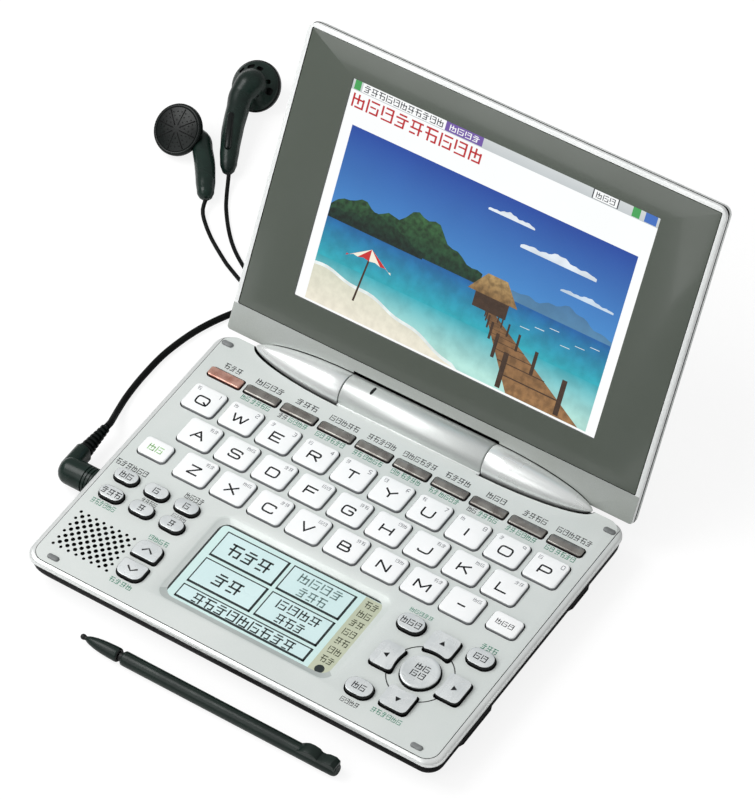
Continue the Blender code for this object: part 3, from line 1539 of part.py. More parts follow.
def main():
    clear_scene()
    materials = make_materials()
    lid_pivot = bpy.data.objects.new("lid_pivot", None)
    bpy.context.scene.collection.objects.link(lid_pivot)
    lid_pivot.location = (0, HINGE_Y, HINGE_Z)
    lid_pivot.rotation_euler = (-REST_OPENING, 0, 0)
    build_top_cover(materials)
    build_bottom_case(materials)
    build_screws(materials)
    build_inside(materials)
    build_socket(materials)
    build_keys(materials)
    build_shaft(materials)
    build_lid(materials, lid_pivot)
    build_plug(materials)
    build_cords(materials)
    build_earbuds(materials)
    build_stylus(materials)
    bpy.context.view_layer.update()


main()
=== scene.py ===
"""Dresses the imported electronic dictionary: its case, keys, screens, lid, earphones and stylus.

The classes hold sizes in millimetres, in the frame's own axes unless a method says otherwise, and the
workshop functions turn them into metres.
"""

from __future__ import annotations

import logging
import math
from dataclasses import dataclass, field
from enum import Enum
from typing import Callable, Iterable, Sequence

import bmesh
import bpy
from mathutils import Matrix, Vector


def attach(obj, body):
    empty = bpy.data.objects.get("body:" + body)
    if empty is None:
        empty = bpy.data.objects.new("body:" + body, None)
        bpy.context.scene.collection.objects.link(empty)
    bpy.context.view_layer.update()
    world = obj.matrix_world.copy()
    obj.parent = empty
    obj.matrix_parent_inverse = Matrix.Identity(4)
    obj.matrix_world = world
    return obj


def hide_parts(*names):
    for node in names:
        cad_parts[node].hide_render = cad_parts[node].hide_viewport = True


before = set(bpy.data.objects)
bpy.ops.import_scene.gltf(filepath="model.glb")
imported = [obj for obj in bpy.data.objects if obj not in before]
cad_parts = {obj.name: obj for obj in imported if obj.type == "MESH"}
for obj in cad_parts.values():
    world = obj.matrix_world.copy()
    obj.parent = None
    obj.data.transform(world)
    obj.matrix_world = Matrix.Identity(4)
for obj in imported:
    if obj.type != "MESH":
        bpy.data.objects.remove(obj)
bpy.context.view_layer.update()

LOG = logging.getLogger("dictionary")
MM = 0.001
LEAST = 0.02  # the smallest radius that a closed end keeps
SAME_PLACE = 1e-3  # points of a line that lie closer are one
SHARP_TURN = 0.6  # below it, a stroke's outer corner is cut off

Rgb = tuple[int, int, int]
Point = tuple[float, float, float]
Section = tuple[float, float]
Thing = bpy.types.Object
Tree = bpy.types.NodeTree
Socket = bpy.types.NodeSocket
Test = Callable[[Vector, Vector], bool]


class Element(Enum):
    """The mesh elements that a selection is made of."""

    VERT = "VERT"
    EDGE = "EDGE"
    FACE = "FACE"


class Body(Enum):
    """The bodies of the frame that the larger pieces ride on."""

    BASE = "base"
    LID = "lid"
    DOOR = "battery_door"
    STYLUS = "stylus"


# Workshop: modelling steps that every piece is made with


def deselect() -> None:
    """Leave edit mode and deselect everything."""
    if bpy.context.object is not None and bpy.context.object.mode != "OBJECT":
        bpy.ops.object.mode_set(mode="OBJECT")
    bpy.ops.object.select_all(action="DESELECT")


def activate(*things: Thing) -> None:
    """Select only these objects and make the first one active.

    Args:
        things: the objects to select.
    """
    deselect()
    for thing in things:
        thing.select_set(True)
    bpy.context.view_layer.objects.active = things[0]


def settle(thing: Thing, name: str = "") -> Thing:
    """Put an object's place, turn and scale into its mesh.

    Args:
        thing: the object to settle.
        name: a new name for it, if given.

    Returns:
        The same object, at the origin.
    """
    activate(thing)
    bpy.ops.object.transform_apply(location=True, rotation=True, scale=True)
    if name:
        thing.name = thing.data.name = name
    return thing


def turned(at: Point, degrees: float = 0.0, axis: str = "Z") -> Matrix:
    """The matrix that turns a thing about an axis through the origin and then moves it to a place."""
    return Matrix.Translation([value * MM for value in at]) @ Matrix.Rotation(math.radians(degrees), 4, axis)


def place(thing: Thing, matrix: Matrix) -> Thing:
    """Move an object by a matrix and settle it there.

    Args:
        thing: the object to move.
        matrix: where it goes.

    Returns:
        The same object.
    """
    thing.matrix_world = matrix @ thing.matrix_world
    return settle(thing)


def edit(thing: Thing) -> None:
    """Enter edit mode, if the object isn't in it.

    Args:
        thing: the mesh object.
    """
    if thing.mode != "EDIT":
        activate(thing)
        bpy.ops.object.mode_set(mode="EDIT")


def select(thing: Thing, kind: Element, test: Test = lambda at, way: True) -> None:
    """Enter edit mode with only the elements selected that pass a test.

    Args:
        thing: the mesh object to edit.
        kind: which elements are tested.
        test: takes an element's middle in millimetres and its normal, or direction for an edge.
    """
    edit(thing)
    bpy.ops.mesh.select_mode(type=kind.value)
    bpy.ops.mesh.select_all(action="DESELECT")
    shape = bmesh.from_edit_mesh(thing.data)
    if kind is Element.FACE:
        shape.normal_update()
        found = [(face, face.calc_center_median(), face.normal) for face in shape.faces]
    elif kind is Element.EDGE:
        ends = [(edge, *[vertex.co for vertex in edge.verts]) for edge in shape.edges]
        found = [(edge, (first + last) / 2, (last - first).normalized()) for edge, first, last in ends]
    else:
        found = [(vertex, vertex.co, vertex.normal) for vertex in shape.verts]
    for item, at, way in found:
        if test(at / MM, way):
            item.select_set(True)
    shape.select_flush_mode()
    bmesh.update_edit_mesh(thing.data)


def heal(thing: Thing, merge: float = 0.0) -> Thing:
    """Turn a mesh's faces outwards, after merging its doubles if asked to, and leave edit mode.

    Args:
        thing: the mesh object.
        merge: how close together its doubles lie in metres, or 0 to leave them.

    Returns:
        The same object.
    """
    edit(thing)
    bpy.ops.mesh.select_all(action="SELECT")
    if merge:
        bpy.ops.mesh.remove_doubles(threshold=merge)
    bpy.ops.mesh.normals_make_consistent(inside=False)
    bpy.ops.object.mode_set(mode="OBJECT")
    return thing


def round_edges(thing: Thing, radius: float, test: Test) -> Thing:
    """Bevel the edges that pass a test.

    Args:
        thing: the piece.
        radius: how far the bevel reaches.
        test: takes an edge's middle in millimetres and its direction.

    Returns:
        The same piece.
    """
    select(thing, Element.EDGE, test)
    bpy.ops.mesh.bevel(offset=radius * MM, segments=3, affect="EDGES", clamp_overlap=True)
    bpy.ops.object.mode_set(mode="OBJECT")
    return thing


def raise_sections(
    thing: Thing, middle: Section, factors: Iterable[tuple[float, float, float, float]]
) -> Thing:
    """Extrude a flat face upwards step by step, resize it at each step and close the solid.

    Args:
        thing: the object with only the flat face.
        middle: where the resizing is centred.
        factors: for each step the rise and the new height in millimetres, and the x and y factors.

    Returns:
        The same object.
    """
    select(thing, Element.FACE)
    for rise, height, factor_x, factor_y in factors:
        bpy.ops.mesh.extrude_region_move(TRANSFORM_OT_translate={"value": (0, 0, rise * MM)})
        if abs(factor_x - 1) > 1e-6 or abs(factor_y - 1) > 1e-6:
            centre = (middle[0] * MM, middle[1] * MM, height * MM)
            bpy.ops.transform.resize(value=(factor_x, factor_y, 1), center_override=centre)
    return heal(thing)


def loft(
    name: str,
    middle: Section,
    size: Section,
    corners: float | Section,
    sections: Sequence[Section],
    steps: int = 5,
) -> Thing:
    """A solid whose outline is a rectangle with round corners, drawn in or out from level to level.

    Args:
        name: the piece's name.
        middle: the outline's middle.
        size: the outline's width and depth.
        corners: the corner radius, or the front and the back ones.
        sections: from one end to the other, how far the outline is drawn in and its height.
        steps: the segments of each corner.

    Returns:
        The new object.
    """
    (width, depth), (first, start) = size, sections[0]
    thing = plane(name, middle, (width - 2 * first, depth - 2 * first), start)
    near = 0.35 * (depth - 2 * first)
    for radius, sign in zip(corners if isinstance(corners, tuple) else (corners, corners), (-1, 1)):
        if radius > 0:
            select(thing, Element.VERT, lambda at, _, sign=sign: (at.y - middle[1]) * sign > near)
            bpy.ops.mesh.bevel(offset=max(radius - first, LEAST) * MM, segments=steps, affect="VERTICES")
    factors = []
    for (inset, height), (last, last_height) in zip(sections[1:], sections):
        shares = [(length - 2 * inset) / (length - 2 * last) for length in size]
        factors.append((height - last_height, height, *shares))
    return raise_sections(thing, middle, factors)


def round_over(top: float, radius: float, steps: int = 3) -> list[Section]:
    """The insets and heights of a rounded upper edge, from the side to the top."""
    turns = [math.pi / 2 * step / steps for step in range(steps + 1)]
    return [(radius * (1 - math.cos(turn)), top - radius * (1 - math.sin(turn))) for turn in turns]


def slab(
    name: str, low: Point, high: Point, corners: float | Section = 0.0, edge: float = 0.0, steps: int = 5
) -> Thing:
    """A block with round upright corners and a rounded upper edge.

    Args:
        name: the piece's name.
        low: its lowest corner.
        high: its highest corner.
        corners: the corner radius, or the front and the back ones.
        edge: the radius of its upper edge.
        steps: the segments of each corner.

    Returns:
        The new object.
    """
    middle = ((low[0] + high[0]) / 2, (low[1] + high[1]) / 2)
    size = (high[0] - low[0], high[1] - low[1])
    upper = round_over(high[2], edge) if edge else [(0.0, high[2])]
    return loft(name, middle, size, corners, [(0.0, low[2]), *upper], steps)


def lathe(name: str, profile: Sequence[Section], sides: int = 32) -> Thing:
    """A turned solid that stands on Z.

    Args:
        name: the piece's name.
        profile: heights and radii from one end to the other.
        sides: how many sides it has.

    Returns:
        The new object.
    """
    deselect()
    profile = [(height, max(radius, LEAST)) for height, radius in profile]
    start, first = profile[0]
    bpy.ops.mesh.primitive_circle_add(
        vertices=sides, radius=first * MM, fill_type="NGON", location=(0, 0, start * MM)
    )
    factors = [
        (height - last_height, height, radius / last, radius / last)
        for (height, radius), (last_height, last) in zip(profile[1:], profile)
    ]
    return raise_sections(settle(bpy.context.object, name), (0.0, 0.0), factors)


def poly_curve(name: str, points: Sequence[Sequence[float]], **settings: object) -> Thing:
    """A curve object of one spline with straight parts.

    Args:
        name: its name.
        points: its points in metres.
        settings: what else is set on its data.

    Returns:
        The new object.
    """
    data = bpy.data.curves.new(name, "CURVE")
    for setting, value in settings.items():
        setattr(data, setting, value)
    spline = data.splines.new("POLY")
    spline.points.add(len(points) - 1)
    for target, point in zip(spline.points, points):
        target.co = (*point, 1.0)
    thing = bpy.data.objects.new(name, data)
    bpy.context.scene.collection.objects.link(thing)
    return thing


def meshed(curve: Thing, merge: float) -> Thing:
    """A curve's surface as a mesh with its doubles merged.

    Args:
        curve: the curve object.
        merge: how close two corners are to be merged, in metres.

    Returns:
        The mesh object.
    """
    name = curve.name
    activate(curve)
    bpy.ops.object.convert(target="MESH")
    return heal(settle(bpy.context.object, name), merge)


def flat_shape(name: str, outline: Sequence[Section], low: float, high: float) -> Thing:
    """A flat plate with any outline, made from a filled curve.

    Args:
        name: the piece's name.
        outline: its corners.
        low: the height of its underside.
        high: the height of its top.

    Returns:
        The new object.
    """
    points = [(x * MM, y * MM, 0.0) for x, y in outline]
    curve = poly_curve(name, points, dimensions="2D", fill_mode="BOTH", extrude=(high - low) / 2 * MM)
    curve.data.splines[0].use_cyclic_u = True
    curve.location.z = (low + high) / 2 * MM
    return meshed(curve, 1e-7)


def plane(name: str, middle: Section, size: Section, height: float) -> Thing:
    """One flat rectangle.

    Args:
        name: the piece's name.
        middle: its middle.
        size: its width and depth.
        height: how high it lies.

    Returns:
        The new object.
    """
    deselect()
    bpy.ops.mesh.primitive_plane_add(size=1, location=(middle[0] * MM, middle[1] * MM, height * MM))
    thing = bpy.context.object
    thing.scale = (size[0] * MM, size[1] * MM, 1)
    return settle(thing, name)


def patch(low: Section, high: Section, height: float, finish: "Finish") -> Thing:
    """A printed patch: one flat rectangle between two corners, at a height and in an ink."""
    middle = ((low[0] + high[0]) / 2, (low[1] + high[1]) / 2)
    return tinted(plane("patch", middle, (high[0] - low[0], high[1] - low[1]), height), finish)


def bend(first: Vector, corner: Vector, last: Vector) -> list[Vector]:
    """Five points of a smooth bend from one point to another round a corner."""
    shares = [step / 4 for step in range(5)]
    return [first * (1 - s) ** 2 + corner * 2 * s * (1 - s) + last * s**2 for s in shares]


def softened(corners: Sequence[Point]) -> list[Section]:
    """An open line whose corners are rounded.

    Args:
        corners: each corner's x, y and radius.

    Returns:
        The points of the rounded line.
    """
    places = [Vector((x, y)) for x, y, _ in corners]
    line = [places[0]]
    for index, at in enumerate(places[1:], 1):
        radius, bends = corners[index][2], [at]
        if radius and index < len(places) - 1:
            ways = (places[index - 1] - at, places[index + 1] - at)
            first, last = (at + way.normalized() * min(radius, way.length / 2) for way in ways)
            bends = bend(first, at, last)
        line += [point for point in bends if (point - line[-1]).length > SAME_PLACE]
    return [(point.x, point.y) for point in line]


def ribbon(line: Sequence[Section], half: float) -> list[Section]:
    """The outline of an even stroke along a line.

    Args:
        line: the line's points.
        half: half the stroke's width.

    Returns:
        The outline's points.
    """
    places = [Vector(point) for point in line]
    sides: tuple[list[Vector], list[Vector]] = ([], [])
    for index, at in enumerate(places):
        pairs = zip(places[max(index - 1, 0) : index + 1], places[max(index, 1) : index + 2])
        ways = [(after - before).normalized() for before, after in pairs]
        normals = [Vector((-way.y, way.x)) * half for way in ways]
        for side, sign in zip(sides, (1, -1)):
            if len(ways) == 1:
                side.append(at + normals[0] * sign)
                continue
            open_angle = 1 + ways[0].dot(ways[1])
            turn = ways[0].x * ways[1].y - ways[0].y * ways[1].x
            if open_angle > SHARP_TURN or turn * sign > 0:
                side.append(at + (normals[0] + normals[1]) * sign / open_angle)
            else:
                side += [at + normal * sign for normal in normals]
    return [(point.x, point.y) for point in (*sides[0], *reversed(sides[1]))]


def remove(*things: Thing) -> None:
    """Delete models and tools that are done with."""
    for thing in things:
        bpy.data.objects.remove(thing, do_unlink=True)


def copied(thing: Thing, x: float, y: float, z: float = 0.0, scale: Point = (1, 1, 1)) -> Thing:
    """A copy of an object with its own mesh, moved aside.

    Args:
        thing: what is copied.
        x: how far it moves along X.
        y: how far it moves along Y.
        z: how far it moves along Z.
        scale: how it is scaled about the origin first.

    Returns:
        The copy, not settled yet.
    """
    new = thing.copy()
    new.data = thing.data.copy()
    bpy.context.scene.collection.objects.link(new)
    new.location = (x * MM, y * MM, z * MM)
    new.scale = scale
    return new


def joined(name: str, things: Sequence[Thing]) -> Thing:
    """Several objects as one settled piece.

    Args:
        name: the piece's name.
        things: the objects to join.

    Returns:
        The joined object.
    """
    bpy.context.view_layer.update()
    activate(*things)
    if len(things) > 1:
        bpy.ops.object.join()
    return settle(bpy.context.object, name)


def combine(thing: Thing, tool: Thing, operation: str) -> Thing:
    """Apply an exact boolean, whose new faces keep the tool's finish.

    Args:
        thing: the piece that is changed.
        tool: the tool, which is used up.
        operation: DIFFERENCE, UNION or INTERSECT.

    Returns:
        The changed piece.
    """
    activate(thing)
    step = thing.modifiers.new("cut", "BOOLEAN")
    step.operation = operation
    step.solver = "EXACT"
    step.material_mode = "TRANSFER"
    step.object = tool
    bpy.ops.object.modifier_apply(modifier=step.name)
    bpy.data.objects.remove(tool, do_unlink=True)
    return thing


def smooth(thing: Thing, angle: float = 32.0) -> Thing:
    """Shade a piece smooth, but not over edges that are sharper than an angle in degrees.

    Args:
        thing: the piece.
        angle: the sharpest angle that is smoothed.

    Returns:
        The same piece.
    """
    activate(thing)
    bpy.ops.object.shade_smooth_by_angle(angle=math.radians(angle))
    return thing


def tinted(thing: Thing, finish: "Finish") -> Thing:
    """Give a whole piece one finish.

    Args:
        thing: the piece.
        finish: its finish.

    Returns:
        The same piece.
    """
    thing.data.materials.clear()
    thing.data.materials.append(finish.material())
    return thing


def repaint(thing: Thing, finish: "Finish", test: Callable[[Vector, Vector], bool]) -> Thing:
    """Give the faces that pass a test another finish.

    Args:
        thing: the piece.
        finish: the finish of those faces.
        test: takes a face's middle in millimetres and its normal.

    Returns:
        The same piece.
    """
    thing.data.materials.append(finish.material())
    slot = len(thing.data.materials) - 1
    for face in thing.data.polygons:
        if test(face.center / MM, face.normal):
            face.material_index = slot
    return thing


def seat(thing: Thing, body: Body | str, slot: str, *nodes: str) -> Thing:
    """Let a finished piece ride on its body, hide the CAD nodes that it replaces and log where it rides.

    Args:
        thing: the piece.
        body: the body it rides on.
        slot: not used.
        nodes: the CAD nodes that it replaces.

    Returns:
        The same piece.
    """
    deselect()
    rides_on = body.value if isinstance(body, Body) else body
    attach(thing, rides_on)
    if nodes:
        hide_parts(*nodes)
    LOG.info("%s rides on %s", thing.name, rides_on)
    return thing


# Finishes


def linear(colour: Rgb) -> tuple[float, float, float, float]:
    """An eight-bit colour as the linear values with alpha that Blender works in."""
    values = [part / 255 for part in colour]
    return (*[v / 12.92 if v <= 0.04045 else ((v + 0.055) / 1.055) ** 2.4 for v in values], 1.0)


def fill(tree: Tree, node: bpy.types.Node, inputs: dict[str | int, object]) -> None:
    """Link or set a node's inputs.

    Args:
        tree: the node's tree.
        node: the node.
        inputs: for each of these sockets, another node's output or a plain value.
    """
    for socket, value in inputs.items():
        if isinstance(value, Socket):
            tree.links.new(value, node.inputs[socket])
        else:
            node.inputs[socket].default_value = value


def add_node(tree: Tree, kind: str, inputs: dict[str | int, object], **options: object) -> bpy.types.Node:
    """Add a shader node.

    Args:
        tree: where it is added.
        kind: its type, without the words before it.
        inputs: what its inputs get, as in fill.
        options: its settings.

    Returns:
        The new node.
    """
    node = tree.nodes.new("ShaderNode" + kind)
    for option, value in options.items():
        setattr(node, option, value)
    fill(tree, node, inputs)
    return node


def shaded(thing: bpy.types.Material | bpy.types.World, name: str) -> tuple[Tree, bpy.types.Node]:
    """Turn on a new material's or world's nodes, and find one of them by its name."""
    thing.use_nodes = True
    return thing.node_tree, thing.node_tree.nodes[name]


def new_group(name: str, inputs: dict[str, object], outputs: Sequence[str]) -> tuple[Tree, dict[str, Socket]]:
    """An empty shader node group with named sockets.

    Args:
        name: the group's name.
        inputs: each input's default, a number or a colour.
        outputs: the outputs, of which only the one named Colour is a colour.

    Returns:
        The group and its inputs.
    """
    group = bpy.data.node_groups.new(name, "ShaderNodeTree")
    for socket, value in inputs.items():
        kind = "NodeSocketColor" if isinstance(value, tuple) else "NodeSocketFloat"
        group.interface.new_socket(socket, in_out="INPUT", socket_type=kind).default_value = value
    for socket in outputs:
        kind = "NodeSocketColor" if socket == "Colour" else "NodeSocketFloat"
        group.interface.new_socket(socket, in_out="OUTPUT", socket_type=kind)
    source = group.nodes.new("NodeGroupInput").outputs
    return group, {socket: source[socket] for socket in inputs}


def end_group(group: Tree, results: dict[str | int, object]) -> Tree:
    """Link a group's results to its outputs, and give it back."""
    fill(group, group.nodes.new("NodeGroupOutput"), results)
    return group


def noise(
    group: Tree, scale: Socket, detail: float, turn: Point | None = None, stretch: Point = (1, 1, 1)
) -> Socket:
    """A noise pattern on Object coordinates inside a group.

    Args:
        group: the node group.
        scale: the socket that gives its scale.
        detail: its detail.
        turn: how the pattern is turned, if it is.
        stretch: how the pattern is stretched when it is turned.

    Returns:
        The pattern's value socket.
    """
    where = add_node(group, "TexCoord", {}).outputs["Object"]
    if turn:
        mapping = {"Vector": where, "Rotation": turn, "Scale": stretch}
        where = add_node(group, "Mapping", mapping).outputs["Vector"]
    return add_node(group, "TexNoise", {"Vector": where, "Scale": scale, "Detail": detail}).outputs["Fac"]


def mixed(tree: Tree, share: object, first: object, second: object, blend: str = "MIX") -> Socket:
    """A mix of two colours.

    Args:
        tree: where it is made.
        share: how much of the second colour shows.
        first: the first colour.
        second: the second colour.
        blend: how they are blended.

    Returns:
        The mixed colour's socket.
    """
    inputs = {0: share, 6: first, 7: second}
    return add_node(tree, "Mix", inputs, data_type="RGBA", blend_type=blend).outputs[2]


def spread(tree: Tree, value: Socket, start: float, end: float) -> Socket:
    """A value stretched from a range to 0 and 1, and clamped."""
    inputs = {"Value": value, "From Min": start, "From Max": end}
    return add_node(tree, "MapRange", inputs).outputs["Result"]


def reckon(tree: Tree, operation: str, first: Socket, second: Socket | float) -> Socket:
    """The result of a Math node for two values."""
    return add_node(tree, "Math", {0: first, 1: second}, operation=operation).outputs[0]


def moulding_group() -> Tree:
    """The tone, gloss and grain of a moulded surface.

    Returns:
        The group, built at its first use.
    """
    name = "moulded_surface"
    if name in bpy.data.node_groups:
        return bpy.data.node_groups[name]
    colours = {"Colour": (0.8, 0.8, 0.8, 1), "Shade": (0.7, 0.7, 0.7, 1)}
    values = {"Patch Scale": 60.0, "Grain Scale": 2500.0, "Gloss Low": 0.35, "Gloss High": 0.45}
    group, source = new_group(name, {**colours, **values}, ("Colour", "Roughness", "Height"))
    patches = spread(group, noise(group, source["Patch Scale"], 3), 0.35, 0.65)
    gloss = add_node(group, "Mix", {0: patches, 2: source["Gloss Low"], 3: source["Gloss High"]})
    return end_group(
        group,
        {
            "Colour": mixed(group, patches, source["Colour"], source["Shade"]),
            "Roughness": gloss.outputs[0],
            "Height": noise(group, source["Grain Scale"], 2),
        },
    )


def flake_group() -> Tree:
    """Fine metal flakes in a painted surface.

    Returns:
        The group, built at its first use.
    """
    name = "paint_flakes"
    if name in bpy.data.node_groups:
        return bpy.data.node_groups[name]
    defaults = {"Colour": (0.8, 0.8, 0.8, 1), "Flake": (1, 1, 1, 1), "Scale": 6000.0, "Share": 0.3}
    group, source = new_group(name, defaults, ("Colour",))
    specks = spread(group, noise(group, source["Scale"], 1), 0.52, 0.7)
    share = reckon(group, "MULTIPLY", specks, source["Share"])
    return end_group(group, {"Colour": mixed(group, share, source["Colour"], source["Flake"])})


def rub_group() -> Tree:
    """Long faint rub marks from handling.

    Returns:
        The group, built at its first use.
    """
    name = "rub_marks"
    if name in bpy.data.node_groups:
        return bpy.data.node_groups[name]
    group, source = new_group(name, {"Roughness": 0.4, "Scale": 90.0, "Amount": 0.1}, ("Roughness",))
    marks = noise(group, source["Scale"], 4, (0.4, 0.2, 0.7), (1.0, 9.0, 3.0))
    part = reckon(group, "MULTIPLY", spread(group, marks, 0.55, 0.75), source["Amount"])
    return end_group(group, {"Roughness": reckon(group, "ADD", source["Roughness"], part)})


@dataclass(frozen=True)
class Finish:
    """A moulded, painted or printed surface.

    The second colour shows in soft patches, the grain is a fine relief, and flakes and rubs are optional.
    """

    name: str
    colour: Rgb
    shade: Rgb | None = None
    roughness: float = 0.42
    gloss_spread: float = 0.06
    patch_scale: float = 70.0
    grain_scale: float = 2600.0
    relief: float = 0.02
    metallic: float = 0.0
    coat: float = 0.0
    coat_roughness: float = 0.08
    flakes: float = 0.0
    rubs: float = 0.0
    specular: float = 0.5

    def material(self) -> bpy.types.Material:
        """The finish's material, built at its first use.

        Returns:
            The material.
        """
        if self.name not in bpy.data.materials:
            made = bpy.data.materials.new(self.name)
            self.wire(*shaded(made, "Principled BSDF"))
        return bpy.data.materials[self.name]

    def wire(self, tree: Tree, shader: bpy.types.Node) -> None:
        """Set up the material's nodes.

        Args:
            tree: the material's nodes.
            shader: its main shader.
        """
        shade = self.shade or tuple(round(part * 0.965) for part in self.colour)
        inputs = {
            "Colour": linear(self.colour),
            "Shade": linear(shade),
            "Patch Scale": self.patch_scale,
            "Grain Scale": self.grain_scale,
            "Gloss Low": max(self.roughness - self.gloss_spread, 0.02),
            "Gloss High": self.roughness + self.gloss_spread,
        }
        surface = add_node(tree, "Group", inputs, node_tree=moulding_group()).outputs
        colour, roughness = surface["Colour"], surface["Roughness"]
        if self.flakes:
            inputs = {"Colour": colour, "Share": self.flakes}
            colour = add_node(tree, "Group", inputs, node_tree=flake_group()).outputs["Colour"]
        if self.rubs:
            inputs = {"Roughness": roughness, "Amount": self.rubs}
            roughness = add_node(tree, "Group", inputs, node_tree=rub_group()).outputs["Roughness"]
        inputs = {
            "Base Color": colour,
            "Roughness": roughness,
            "Metallic": self.metallic,
            "Coat Weight": self.coat,
            "Coat Roughness": self.coat_roughness,
            "Specular IOR Level": self.specular,
        }
        if self.relief:
            bump = {"Strength": self.relief, "Distance": 0.0002, "Height": surface["Height"]}
            inputs["Normal"] = add_node(tree, "Bump", bump).outputs["Normal"]
        fill(tree, shader, inputs)


@dataclass(frozen=True)
class Glow(Finish):
    """A lit area of a screen, which may run from one colour to another up its height.

    The heights are in millimetres in the frame's Z, and strength is how brightly it shines.
    """

    top_colour: Rgb | None = None
    low: float = 0.0
    high: float = 1.0
    strength: float = 1.0

    def wire(self, tree: Tree, shader: bpy.types.Node) -> None:
        """Set up the material's nodes.

        Args:
            tree: the material's nodes.
            shader: its main shader.
        """
        where = add_node(tree, "TexCoord", {}).outputs["Object"]
        height = add_node(tree, "SeparateXYZ", {"Vector": where}).outputs["Z"]
        share = spread(tree, height, self.low * MM, self.high * MM)
        blend = mixed(tree, share, linear(self.colour), linear(self.top_colour or self.colour))
        dim = 1 - 0.6 * self.gloss_spread
        inputs = {
            "Colour": (1, 1, 1, 1),
            "Shade": (dim, dim, dim, 1),
            "Patch Scale": self.patch_scale,
            "Grain Scale": self.grain_scale,
        }
        tone = add_node(tree, "Group", inputs, node_tree=moulding_group()).outputs["Colour"]
        inputs = {
            "Base Color": (0.004, 0.004, 0.004, 1),
            "Roughness": self.roughness,
            "Specular IOR Level": self.specular,
            "Emission Strength": self.strength,
            "Emission Color": mixed(tree, 1.0, blend, tone, "MULTIPLY"),
        }
        fill(tree, shader, inputs)


def ink(name: str, colour: Rgb, roughness: float = 0.6, patches: float = 400, specular: float = 0.5) -> Finish:
    """A printed ink: even, matt and without relief."""
    return Finish(name, colour, None, roughness, 0.04, patches, 2600, 0.0, specular=specular)


# Each with its colour, its shade, its roughness and the spread of that, the scales of patches and grain,
# its relief and how metallic it is

SILVER_PANEL = Finish(
    "silver_panel", (217, 222, 219), (210, 216, 213), 0.46, 0.05, 40, 2200, 0.03, 0.1, flakes=0.14, rubs=0.08
)
SILVER_RIM = Finish(
    "silver_rim", (232, 235, 233), (224, 227, 226), 0.3, 0.05, 50, 2200, 0.02, 0.5, flakes=0.12, rubs=0.06
)
STRIP_GREY = Finish(
    "strip_grey", (176, 181, 178), (164, 169, 163), 0.4, 0.06, 30, 2200, 0.02, 0.2, flakes=0.1, rubs=0.08
)
LID_BACK_SILVER = Finish(
    "lid_back_silver", (208, 212, 210), (204, 208, 206), 0.36, 0.06, 30, 2400, 0.03, 0.4, flakes=0.2, rubs=0.12
)
LID_RIM = Finish(
    "lid_rim_silver", (240, 242, 241), (231, 234, 233), 0.3, 0.05, 50, 2200, 0.02, 0.12, flakes=0.1, rubs=0.06
)
BARREL_SILVER = Finish(
    "barrel_silver", (214, 218, 216), (204, 208, 206), 0.4, 0.06, 70, 2400, 0.04, 0.65, flakes=0.16, rubs=0.1
)
# Painted shade: dark grey for the walls of the fine grooves round the panel and round the arrow pad
GROOVE_SHADE = Finish("groove_shadow", (74, 77, 76), (62, 65, 64), 0.7, 0.05, 300, 2600, 0.0)
BLACK_CASE = Finish("black_case", (9, 9, 10), (6, 6, 7), 0.5, 0.08, 40, 1400, 0.2, specular=0.04, rubs=0.08)
BLACK_SIDE = Finish("black_key_side", (10, 10, 11), (7, 7, 8), 0.4, 0.06, 200, 2600, 0.02, specular=0.3)
# Painted shade: near black for the walls and floors of holes, gaps, grooves, vents and notches, and for dark
# ribs, dots and sheets put where shade falls
GAP_SHADE = Finish("gap_shadow", (12, 13, 13), (8, 8, 8), 0.85, 0.05, 300, 2600, 0.0, specular=0.2)
WHITE_KEY = Finish("white_key", (252, 253, 253), (247, 249, 249), 0.34, 0.06, 160, 3000, 0.012, coat=0.15)
# Painted shade: a darker grey copy of the white keys' colour, for their sides
WHITE_SIDE_SHADE = Finish("white_key_side", (160, 162, 165), (144, 146, 150), 0.4, 0.06, 160, 3000, 0.012)
SILVER_KEY = Finish(
    "silver_key", (226, 230, 230), (208, 213, 214), 0.28, 0.06, 170, 3200, 0.02, 0.25, flakes=0.05
)
TAUPE_KEY = Finish("taupe_key", (150, 148, 142), (112, 107, 102), 0.24, 0.05, 260, 3200, 0.02, 0.6, flakes=0.08)
# Painted shade: a dark copy of the taupe keys' colour, for their sides
TAUPE_SIDE_SHADE = Finish("taupe_key_side", (58, 52, 50), (44, 39, 38), 0.3, 0.05, 190, 3200, 0.02, 0.3)
COPPER_KEY = Finish(
    "copper_key", (212, 166, 150), (164, 112, 96), 0.24, 0.05, 260, 3200, 0.02, 0.55, flakes=0.08
)
# Painted shade: a dark copy of the copper key's colour, for its sides
COPPER_SIDE_SHADE = Finish("copper_key_side", (92, 50, 42), (70, 38, 33), 0.3, 0.05, 190, 3200, 0.02, 0.3)
LEGEND = ink("legend_ink", (24, 25, 27), specular=0.2)
SOFT_LEGEND = ink("legend_grey_ink", (138, 140, 145))
DARK_LEGEND = ink("legend_dark_ink", (46, 47, 50))
GREEN_LEGEND = ink("legend_green_ink", (58, 140, 112))
LIME_LEGEND = ink("legend_lime_ink", (150, 200, 130))
BUMPER_RUBBER = Finish("bumper_rubber", (128, 131, 131), (106, 109, 109), 0.5, 0.08, 300, 1800, 0.1)
FOOT_RUBBER = Finish("foot_rubber", (18, 19, 19), (13, 14, 14), 0.8, 0.08, 200, 1500, 0.2, specular=0.25)
TOUCH_RING = Finish(
    "touch_surround", (214, 220, 217), (206, 213, 209), 0.35, 0.05, 60, 2400, 0.02, 0.1, flakes=0.08
)
